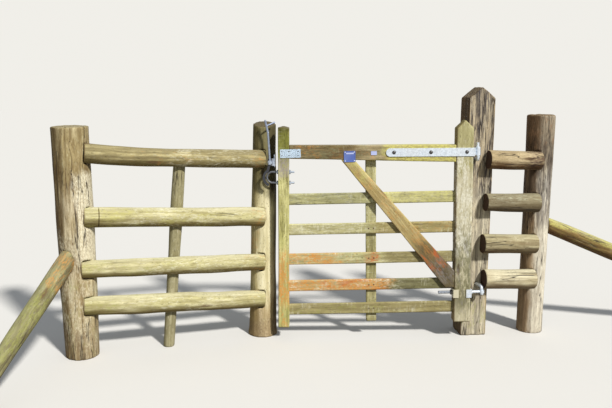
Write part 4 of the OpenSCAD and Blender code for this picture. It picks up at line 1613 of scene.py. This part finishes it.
@dataclass
class Timber:
    """One piece of timber: its solid's shape with worn edges, an uneven surface and its own grain.

    Attributes:
        node: The CAD node that it stands for.
        body: The body that it moves with.
        finish: Its wood.
        lie: How its grain runs.
        cell: The size of its mesh's cells.
        wave: The depth of its long unevenness.
        ripple: The depth of its short unevenness.
        seed: What tells it from the others.
        sag: How far its middle lies below its ends.
        swell: How much thicker it is than its smoothed solid.
        worn: How far the edge of its top end has worn down.
    """

    node: str
    body: str
    finish: TimberFinish
    lie: Lie
    cell: float
    wave: float
    ripple: float
    seed: int
    sag: float = 0.0
    swell: float = 0.0
    worn: float = 0.0

    def corners(self) -> np.ndarray:
        """Reads the solid's points.

        Returns:
            The points in the row's frame, one row each.
        """
        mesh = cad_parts[self.node].data
        points = np.empty(len(mesh.vertices) * 3)
        mesh.vertices.foreach_get("co", points)
        return points.reshape(-1, 3)

    def axes(self, points: np.ndarray) -> Matrix:
        """Finds the grain's frame, whose X runs along it.

        Args:
            points: The solid's points.

        Returns:
            The frame, with its origin at the foot or the left end.
        """
        if self.lie is Lie.UPRIGHT:
            along = Vector((0, 0, 1))
        elif self.lie is Lie.ALONG_LEAF:
            along = Vector((math.cos(LEAF_SAG), 0, math.sin(LEAF_SAG)))
        else:
            _, _, turns = np.linalg.svd(points - points.mean(0), full_matrices=False)
            along = Vector(turns[0])
            if along.x < 0:
                along = -along
        side = Vector((0, 1, 0)) if abs(along.z) > 0.9 else Vector((0, 0, 1)).cross(along)
        side.normalize()
        turned = Matrix((along, side, along.cross(side))).transposed()
        centre = (points.min(0) + points.max(0)) / 2
        reach = ((points - centre) @ np.array(along)).min()
        return Matrix.Translation(Vector(centre) + along * reach) @ turned.to_4x4()

    def surface(self, place: Matrix) -> bpy.types.Mesh:
        """Remakes the solid's surface in even cells, with softened edges.

        Args:
            place: The grain's frame.

        Returns:
            The mesh, in the grain's frame.
        """
        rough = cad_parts[self.node].data.copy()
        rough.transform(place.inverted())
        carrier = new_object(self.node + "_rough", rough)
        even = carrier.modifiers.new("even_cells", "REMESH")
        even.mode = "VOXEL"
        even.voxel_size = self.cell
        relax = carrier.modifiers.new("worn_edges", "SMOOTH")
        relax.factor = 0.5
        relax.iterations = 2
        carrier.data.materials.clear()
        graph = bpy.context.evaluated_depsgraph_get()
        mesh = bpy.data.meshes.new_from_object(carrier.evaluated_get(graph))
        bpy.data.objects.remove(carrier)
        bpy.data.meshes.remove(rough)
        mesh.name = self.node + "_timber"
        return mesh

    def weather(self, mesh: bpy.types.Mesh, place: Matrix) -> None:
        """Moves the surface in and out, and leaves the mesh in the row's frame, inside the part's box.

        Args:
            mesh: The mesh, in the grain's frame.
            place: The grain's frame.
        """
        points = np.empty(len(mesh.vertices) * 3)
        normals = np.empty(len(mesh.vertices) * 3)
        mesh.vertices.foreach_get("co", points)
        mesh.vertices.foreach_get("normal", normals)
        points = points.reshape(-1, 3)
        normals = normals.reshape(-1, 3)
        sideways = 1.0 - np.abs(normals[:, 0]) ** 2
        shift = self.wave * value_noise(points * LONG_WAVES, self.seed)
        shift += 0.5 * self.wave * value_noise(points * MIDDLE_WAVES, self.seed + 7)
        shift += self.ripple * value_noise(points * SHORT_WAVES, self.seed + 13)
        points = points + normals * ((shift + self.swell) * sideways)[:, None]
        if self.worn:
            points[:, 0] -= self.worn * self.top_wear(points)
        matrix = np.array(place)
        world = points @ matrix[:3, :3].T + matrix[:3, 3]
        along = points[:, 0] / points[:, 0].max()
        world[:, 2] -= self.sag * np.sin(math.pi * np.clip(along, 0.0, 1.0) ** 0.8)
        low, high = (np.array(side) for side in PART_BOX)
        world = np.clip(world, low, high)
        foot = self.corners().min(0)[2]
        world[:, 2] = np.maximum(world[:, 2], foot)
        mesh.vertices.foreach_set("co", world.ravel())
        mesh.polygons.foreach_set("use_smooth", np.ones(len(mesh.polygons), dtype=bool))
        mesh.update()

    def top_wear(self, points: np.ndarray) -> np.ndarray:
        """How much of the wear each point has: the rim of the top end most, and unevenly.

        Args:
            points: The mesh's points in the grain's frame.

        Returns:
            A share for each point.
        """
        worn_depth = 0.035
        near_end = np.clip((points[:, 0] - points[:, 0].max() + worn_depth) / worn_depth, 0.0, 1.0)
        across = points[:, 1:] - (points[:, 1:].min(0) + points[:, 1:].max(0)) / 2
        rim = np.clip(np.linalg.norm(across, axis=1) / np.abs(across).max(), 0.0, 1.2) ** 3
        uneven = 0.5 + 0.5 * value_noise(points * END_WAVES, self.seed + 19)
        return near_end * (0.55 * rim + 0.45 * uneven)

    def make(self, patterns: Patterns) -> None:
        """Builds the timber and puts it in the CAD node's place.

        Args:
            patterns: The shared node groups.
        """
        place = self.axes(self.corners())
        mesh = self.surface(place)
        self.weather(mesh, place)
        item = new_object(self.node + "_timber", mesh)
        stains_and_shade = TIMBER_STAINS_AND_SHADE.get(self.node, ())
        wood = self.finish.material(self.node + "_wood", patterns, float(self.seed), stains_and_shade, place)
        mesh.materials.append(wood)
        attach(item, self.body)
        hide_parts(self.node)
        log.info("%s: %d faces", item.name, len(mesh.polygons))


class Workshop:
    """The shared patterns and metals, and the ways that fittings are placed."""

    def __init__(self) -> None:
        """Builds the patterns and an empty store of metals."""
        self.patterns = Patterns()
        self.metals: dict[tuple[Metal, int], bpy.types.Material] = {}

    def metal(self, kind: Metal, seed: int = 0) -> bpy.types.Material:
        """The material of a metal.

        Args:
            kind: Which metal.
            seed: Which of its variants.

        Returns:
            The material, built on its first use.
        """
        key = (kind, seed)
        if key not in self.metals:
            name = f"{kind.value}_{seed}"
            self.metals[key] = METALS[kind].material(name, self.patterns, float(seed))
        return self.metals[key]

    def dress_node(self, node: str, kind: Metal, seed: int = 0) -> None:
        """Gives a CAD node a metal.

        Args:
            node: The node's name.
            kind: The metal.
            seed: The variant.
        """
        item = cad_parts[node]
        if node in NODE_TARNISH_AND_SHADE:
            material = METALS[kind].material(node + "_metal", self.patterns, float(seed), NODE_TARNISH_AND_SHADE[node])
        else:
            material = self.metal(kind, seed)
        if not item.material_slots:
            item.data.materials.append(material)
        for entry in item.material_slots:
            entry.material = material
        log.info("%s: %s", node, kind.value)

    def fit(self, name: str, mesh: bpy.types.Mesh, place: Matrix, body: str, kind: Metal) -> None:
        """Places a fitting of metal.

        Args:
            name: The object's name.
            mesh: Its mesh.
            place: Its matrix.
            body: The body that it moves with.
            kind: Its metal.
        """
        item = new_object(name, mesh, place)
        mesh.materials.append(self.metal(kind))
        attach(item, body)
        log.info("%s: %s", name, kind.value)

    def nails(self, name: str, spots: Sequence[Vector], radius: float, kind: Metal) -> None:
        """Drives a row of nails or screws into the leaf's front as one piece.

        Args:
            name: The object's name.
            spots: The middle of each head.
            radius: The heads' radius.
            kind: Their metal.
        """
        sides = 12
        mesh = heads(name, Head.NAIL, radius, sides, [facing(spot, TOWARDS) for spot in spots])
        self.fit(name, mesh, UNMOVED, LEAF_BODY, kind)


# Sub-assemblies


@dataclass
class Posts:
    """The hinge post, the latch post, the end posts, the leaning stake and the struts."""

    square_cell: float = 0.0065
    thick_cell: float = 0.0075
    round_cell: float = 0.007
    stake_cell: float = 0.0055

    def timbers(self) -> list[Timber]:
        """Lists the posts and the struts.

        Returns:
            Each timber, in the order that they are built.
        """
        return [
            Timber(
                "hinge_post", POSTS_BODY, HINGE_POST, Lie.UPRIGHT,
                self.square_cell, wave=0.0016, ripple=0.0014, seed=11, worn=0.004,
            ),
            Timber(
                "latch_post", POSTS_BODY, LATCH_POST, Lie.UPRIGHT,
                self.square_cell, wave=0.0035, ripple=0.0010, seed=12, worn=0.010,
            ),
            Timber(
                "left_post", POSTS_BODY, LEFT_POST, Lie.UPRIGHT,
                self.thick_cell, wave=0.0055, ripple=0.0016, seed=13, worn=0.008,
            ),
            Timber(
                "right_post", POSTS_BODY, RIGHT_POST, Lie.UPRIGHT,
                self.round_cell, wave=0.0045, ripple=0.0014, seed=14, worn=0.008,
            ),
            Timber(
                "prick_post", POSTS_BODY, PRICK_POST, Lie.LONGEST,
                self.stake_cell, wave=0.0034, ripple=0.0008, seed=15,
            ),
            Timber(
                "left_strut", POSTS_BODY, LEFT_STRUT, Lie.LONGEST,
                self.square_cell, wave=0.0045, ripple=0.0010, seed=16,
            ),
            Timber(
                "right_strut", POSTS_BODY, RIGHT_STRUT, Lie.LONGEST,
                self.square_cell, wave=0.0045, ripple=0.0010, seed=17, swell=0.004,
            ),
        ]

    def build(self, shop: Workshop) -> None:
        """Builds every post and strut.

        Args:
            shop: The shared workshop.
        """
        for timber in self.timbers():
            timber.make(shop.patterns)


@dataclass
class Wings:
    """The log rails of both wings."""

    rails: int = 4
    cell: float = 0.0055
    left_wave: float = 0.0070
    right_wave: float = 0.0048
    ripple: float = 0.0014
    top_sag: float = 0.012

    def build(self, shop: Workshop) -> None:
        """Builds the rails from the top down, the left one first.

        Args:
            shop: The shared workshop.
        """
        for i in range(self.rails):
            left = Timber(
                f"left_rail_{i + 1}", POSTS_BODY, TOP_LEFT_RAIL if i == 0 else LEFT_RAIL, Lie.LONGEST,
                self.cell, self.left_wave, self.ripple, seed=21 + i, sag=self.top_sag if i == 0 else 0.0,
            )
            right = Timber(
                f"right_rail_{i + 1}", POSTS_BODY, RIGHT_RAIL, Lie.LONGEST,
                self.cell, self.right_wave, self.ripple, seed=31 + i,
            )
            left.make(shop.patterns)
            right.make(shop.patterns)


@dataclass
class Leaf:
    """The gate's timbers, and the nails that hold the upright to the thin rails."""

    thin_rails: int = 5
    thin_cell: float = 0.0045
    rail_cell: float = 0.005
    stile_cell: float = 0.0055
    nail_radius: float = 0.0045
    nail_proud: float = 0.0004
    nail_x: tuple[float, ...] = (-0.635, -0.665)
    nail_z: tuple[float, ...] = (0.918, 0.729, 0.541, 0.370, 0.217)
    rail_front: float = LEAF_FRONT + 0.024

    def timbers(self) -> list[Timber]:
        """Lists the thin rails from the top down, and then the rest of the leaf.

        Returns:
            Each timber, in the order that they are built.
        """
        thin = [
            Timber(
                f"leaf_rail_{i + 2}", LEAF_BODY, THIN_RAIL, Lie.ALONG_LEAF,
                self.thin_cell, wave=0.0006, ripple=0.0004, seed=41 + i,
            )
            for i in range(self.thin_rails)
        ]
        return thin + [
            Timber(
                "hanging_stile", LEAF_BODY, STILE, Lie.UPRIGHT,
                self.stile_cell, wave=0.0012, ripple=0.0006, seed=51, worn=0.003,
            ),
            Timber(
                "closing_stile", LEAF_BODY, CLOSING, Lie.UPRIGHT,
                self.rail_cell, wave=0.0012, ripple=0.0006, seed=52, worn=0.012,
            ),
            Timber(
                "top_rail", LEAF_BODY, TOP_RAIL, Lie.ALONG_LEAF,
                self.rail_cell, wave=0.0008, ripple=0.0006, seed=53,
            ),
            Timber(
                "middle_upright", LEAF_BODY, THIN_RAIL, Lie.UPRIGHT,
                self.thin_cell, wave=0.0006, ripple=0.0004, seed=54,
            ),
            Timber(
                "brace", LEAF_BODY, BRACE, Lie.LONGEST,
                self.thin_cell, wave=0.0007, ripple=0.0004, seed=55,
            ),
        ]

    def build(self, shop: Workshop) -> None:
        """Builds the leaf's timbers and drives their nails.

        Args:
            shop: The shared workshop.
        """
        for timber in self.timbers():
            timber.make(shop.patterns)
        front = self.rail_front - self.nail_proud
        spots = [leaf_point(x, front, z) for z in self.nail_z for x in self.nail_x]
        shop.nails("upright_nails", spots, self.nail_radius, Metal.RUSTED)


@dataclass
class Ironwork:
    """The hinges, the latch and the plates, with their bolts and screws."""

    strap_thick: float = 0.006
    strap_z: float = 1.19144
    strap_slope: float = math.radians(0.4)
    fork_reach: float = 0.27
    bolt_reach: tuple[float, ...] = (0.480, 0.258, 0.042)
    bolt_head_radius: float = 0.0115
    bolt_head_sides: int = 24
    bolt_radius: float = 0.005
    nut_across: float = 0.017
    nut_thick: float = 0.008
    thread_z: float = 0.3083
    thread_reach: tuple[float, float] = (0.091, 0.018)
    thread_root: float = 0.0088
    thread_crest: float = 0.0097
    thread_pitch: float = 0.0025
    mending_screw_x: tuple[float, ...] = (-1.187, -1.145, -1.09)
    mending_screw_z: tuple[float, ...] = (1.190, 1.215)
    mending_screw_radius: float = 0.0036
    mending_screw_proud: float = 0.0032
    plaque: Plate = Plate("plaque", PLAQUE_BLUE, -0.8025, 1.162, 0.070, 0.067, 0.0035, 0.004, rim=0.003)
    bar: Plate = Plate("plaque_bar", PLAQUE_PALE, -0.8020, 1.181, 0.046, 0.009, 0.0012, 0.002, proud=0.0020)
    tag: Plate = Plate("tag", PLAQUE_PALE, -0.657, 1.183, 0.036, 0.024, 0.0020, 0.003, rim=0.0018)
    plaque_screw_x: tuple[float, float] = (-0.027, 0.027)
    plaque_screw_z: tuple[float, float] = (-0.026, 0.026)
    plaque_screw_radius: float = 0.0034
    plaque_screw_proud: float = 0.0024

    def strap_point(self, reach: float) -> Vector:
        """A place on the strap's middle line, on its front face.

        Args:
            reach: Its distance from the stile's right edge.

        Returns:
            The place.
        """
        start = leaf_point(STILE_RIGHT, LEAF_FRONT - self.strap_thick, self.strap_z)
        return start + Vector((-reach * math.cos(self.strap_slope), 0, -reach * math.sin(self.strap_slope)))

    def hinges(self, shop: Workshop) -> None:
        """Dresses the hinges and adds the strap's bolts and nuts and the eye bolt's thread.

        Args:
            shop: The shared workshop.
        """
        nodes = ("top_hinge_band", "top_hook", "bottom_hook", "bottom_eye_bolt", "edge_caps")
        for i, node in enumerate(nodes):
            shop.dress_node(node, Metal.ZINC, i)
        for i, reach in enumerate(self.bolt_reach):
            spot = self.strap_point(reach)
            name = f"strap_bolt_{i + 1}"
            head = heads(name, Head.BOLT, self.bolt_head_radius, self.bolt_head_sides, [UNMOVED])
            shop.fit(name, head, facing(spot, TOWARDS), LEAF_BODY, Metal.GREASED)
            back = LEAF_BACK + (self.strap_thick if reach < self.fork_reach else 0.0)
            seat = Vector((spot.x, back, spot.z))
            name = f"strap_nut_{i + 1}"
            nut = hex_nut(name, self.nut_across, self.nut_thick, self.bolt_radius)
            shop.fit(name, nut, facing(seat, AWAY), LEAF_BODY, Metal.DULL_ZINC)
        start, end = (leaf_point(STILE_LEFT - reach, PIN_Y, self.thread_z) for reach in self.thread_reach)
        length = (end - start).length
        winding = thread("eye_bolt_thread", self.thread_root, self.thread_crest, length, self.thread_pitch)
        shop.fit("eye_bolt_thread", winding, facing(start, end - start), LEAF_BODY, Metal.DULL_ZINC)

    def latch(self, shop: Workshop) -> None:
        """Dresses the latch.

        Args:
            shop: The shared workshop.
        """
        shop.dress_node("latch_bracket", Metal.DULL_ZINC, 1)
        shop.dress_node("latch_loop", Metal.DULL_ZINC, 2)
        shop.dress_node("latch_lever", Metal.ROD, 0)

    def plates(self, shop: Workshop) -> None:
        """Adds the mending plate's screws, the bare plaque with its bar and screws, and the bare tag.

        Args:
            shop: The shared workshop.
        """
        shop.dress_node("mending_plate", Metal.SPECKLED, 5)
        front = LEAF_FRONT - self.mending_screw_proud
        spots = [leaf_point(x, front, z) for x in self.mending_screw_x for z in self.mending_screw_z]
        shop.nails("mending_plate_screws", spots, self.mending_screw_radius, Metal.GREASED)
        paints = {paint: paint.material(shop.patterns) for paint in (PLAQUE_BLUE, PLAQUE_PALE)}
        for plate in (self.plaque, self.bar, self.tag):
            item = new_object(plate.name, plate.mesh(), plate.place())
            item.data.materials.append(paints[plate.paint])
            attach(item, LEAF_BODY)
            log.info("%s placed", item.name)
        place = self.plaque.place()
        spots = [
            place @ Vector((x, -self.plaque_screw_proud, z))
            for x in self.plaque_screw_x
            for z in self.plaque_screw_z
        ]
        shop.nails("plaque_screws", spots, self.plaque_screw_radius, Metal.ZINC)

    def build(self, shop: Workshop) -> None:
        """Dresses and adds all the ironwork.

        Args:
            shop: The shared workshop.
        """
        self.hinges(shop)
        self.latch(shop)
        self.plates(shop)


@dataclass
class Studio:
    """The camera, the lights, the floor and the background."""

    eye: tuple[float, float, float] = (-1.065, -4.252, 1.577)
    pitch: float = math.radians(9.8)
    lens: float = 40.0
    sensor: float = 36.0
    sun_turn: float = math.radians(37.0)
    sun_height: float = math.radians(40.0)
    sun_spread: float = math.radians(5.0)
    sun_strength: float = 4.3
    sun_colour: Rgb = (1.0, 0.965, 0.90)
    sky_strength: float = 0.34
    sky_colour: Rgb = (0.90, 0.95, 1.0)
    shown_background: Rgb = (0.8763, 0.8618, 0.8136)
    shown_floor: Rgb = (0.74, 0.735, 0.72)
    bounced_floor: Rgb = (0.26, 0.24, 0.21)
    floor_size: float = 40.0

    def camera(self) -> None:
        """Adds the camera at the photograph's view."""
        data = bpy.data.cameras.new("view")
        data.lens = self.lens
        data.sensor_width = self.sensor
        item = bpy.data.objects.new("view", data)
        item.location = self.eye
        item.rotation_euler = (math.radians(90.0) - self.pitch, 0.0, 0.0)
        bpy.context.scene.collection.objects.link(item)
        bpy.context.scene.camera = item

    def lamp(self) -> None:
        """Adds one soft lamp from the right."""
        data = bpy.data.lights.new("key", "SUN")
        data.energy = self.sun_strength
        data.angle = self.sun_spread
        data.color = self.sun_colour
        item = bpy.data.objects.new("key", data)
        level = math.cos(self.sun_height)
        toward_sun = Vector(
            (math.sin(self.sun_turn) * level, -math.cos(self.sun_turn) * level, math.sin(self.sun_height))
        )
        item.rotation_euler = toward_sun.to_track_quat("Z", "Y").to_euler()
        bpy.context.scene.collection.objects.link(item)

    def sky(self) -> None:
        """Adds an even sky, and the plain background that the camera sees in its place."""
        world = bpy.data.worlds.new("sky")
        bpy.context.scene.world = world
        world.use_nodes = True
        graph = Graph(world.node_tree)
        light = world.node_tree.nodes["Background"]
        graph.fill(light, Color=self.sky_colour, Strength=self.sky_strength)
        shown = graph.add("ShaderNodeBackground")
        graph.fill(shown, Color=self.shown_background, Strength=1.0)
        mix = graph.add("ShaderNodeMixShader")
        graph.feed(mix.inputs[0], self.seen(graph))
        for target, node in zip(mix.inputs[1:], (light, shown)):
            graph.feed(target, graph.wires(node)["Background"])
        graph.fill(world.node_tree.nodes["World Output"], Surface=graph.wires(mix)["Shader"])

    def seen(self, graph: Graph) -> Wire:
        """The share of rays that show the background: the camera's, and those of gloss and glass.

        Args:
            graph: Where the nodes go.

        Returns:
            The share.
        """
        path = graph.wires(graph.add("ShaderNodeLightPath"))
        rays = path["Is Camera Ray"] + path["Is Glossy Ray"]
        return graph.math("ADD", rays, path["Is Transmission Ray"], clamp=True)

    def floor(self) -> None:
        """Adds a plain pale floor, which throws little light back under the rails."""
        work = bmesh.new()
        bmesh.ops.create_grid(work, x_segments=1, y_segments=1, size=self.floor_size)
        mesh = finish_mesh(work, "floor", smooth=False)
        item = new_object("floor", mesh)
        material, graph, shader = start_material("floor_pale", self.shown_floor)
        colour = graph.blend(self.seen(graph), self.bounced_floor, self.shown_floor)
        graph.fill(shader, Base_Color=colour, Roughness=0.9, Specular_IOR_Level=0.0)
        mesh.materials.append(material)

    def build(self) -> None:
        """Sets the view and adds camera, lights and floor."""
        bpy.context.scene.view_settings.view_transform = "Standard"
        self.camera()
        self.lamp()
        self.sky()
        self.floor()


def clear_defaults() -> None:
    """Takes out the start-up file's own cube, lamp and camera."""
    for name in ("Cube", "Light", "Camera"):
        item = bpy.data.objects.get(name)
        if item is not None:
            bpy.data.objects.remove(item)


def main() -> None:
    """Builds the sub-assemblies in order."""
    logging.basicConfig(level=logging.INFO, format="%(message)s")
    clear_defaults()
    Studio().build()
    shop = Workshop()
    for assembly in (Posts(), Wings(), Leaf(), Ironwork()):
        assembly.build(shop)
    bpy.context.view_layer.update()


if __name__ == "__main__":
    main()
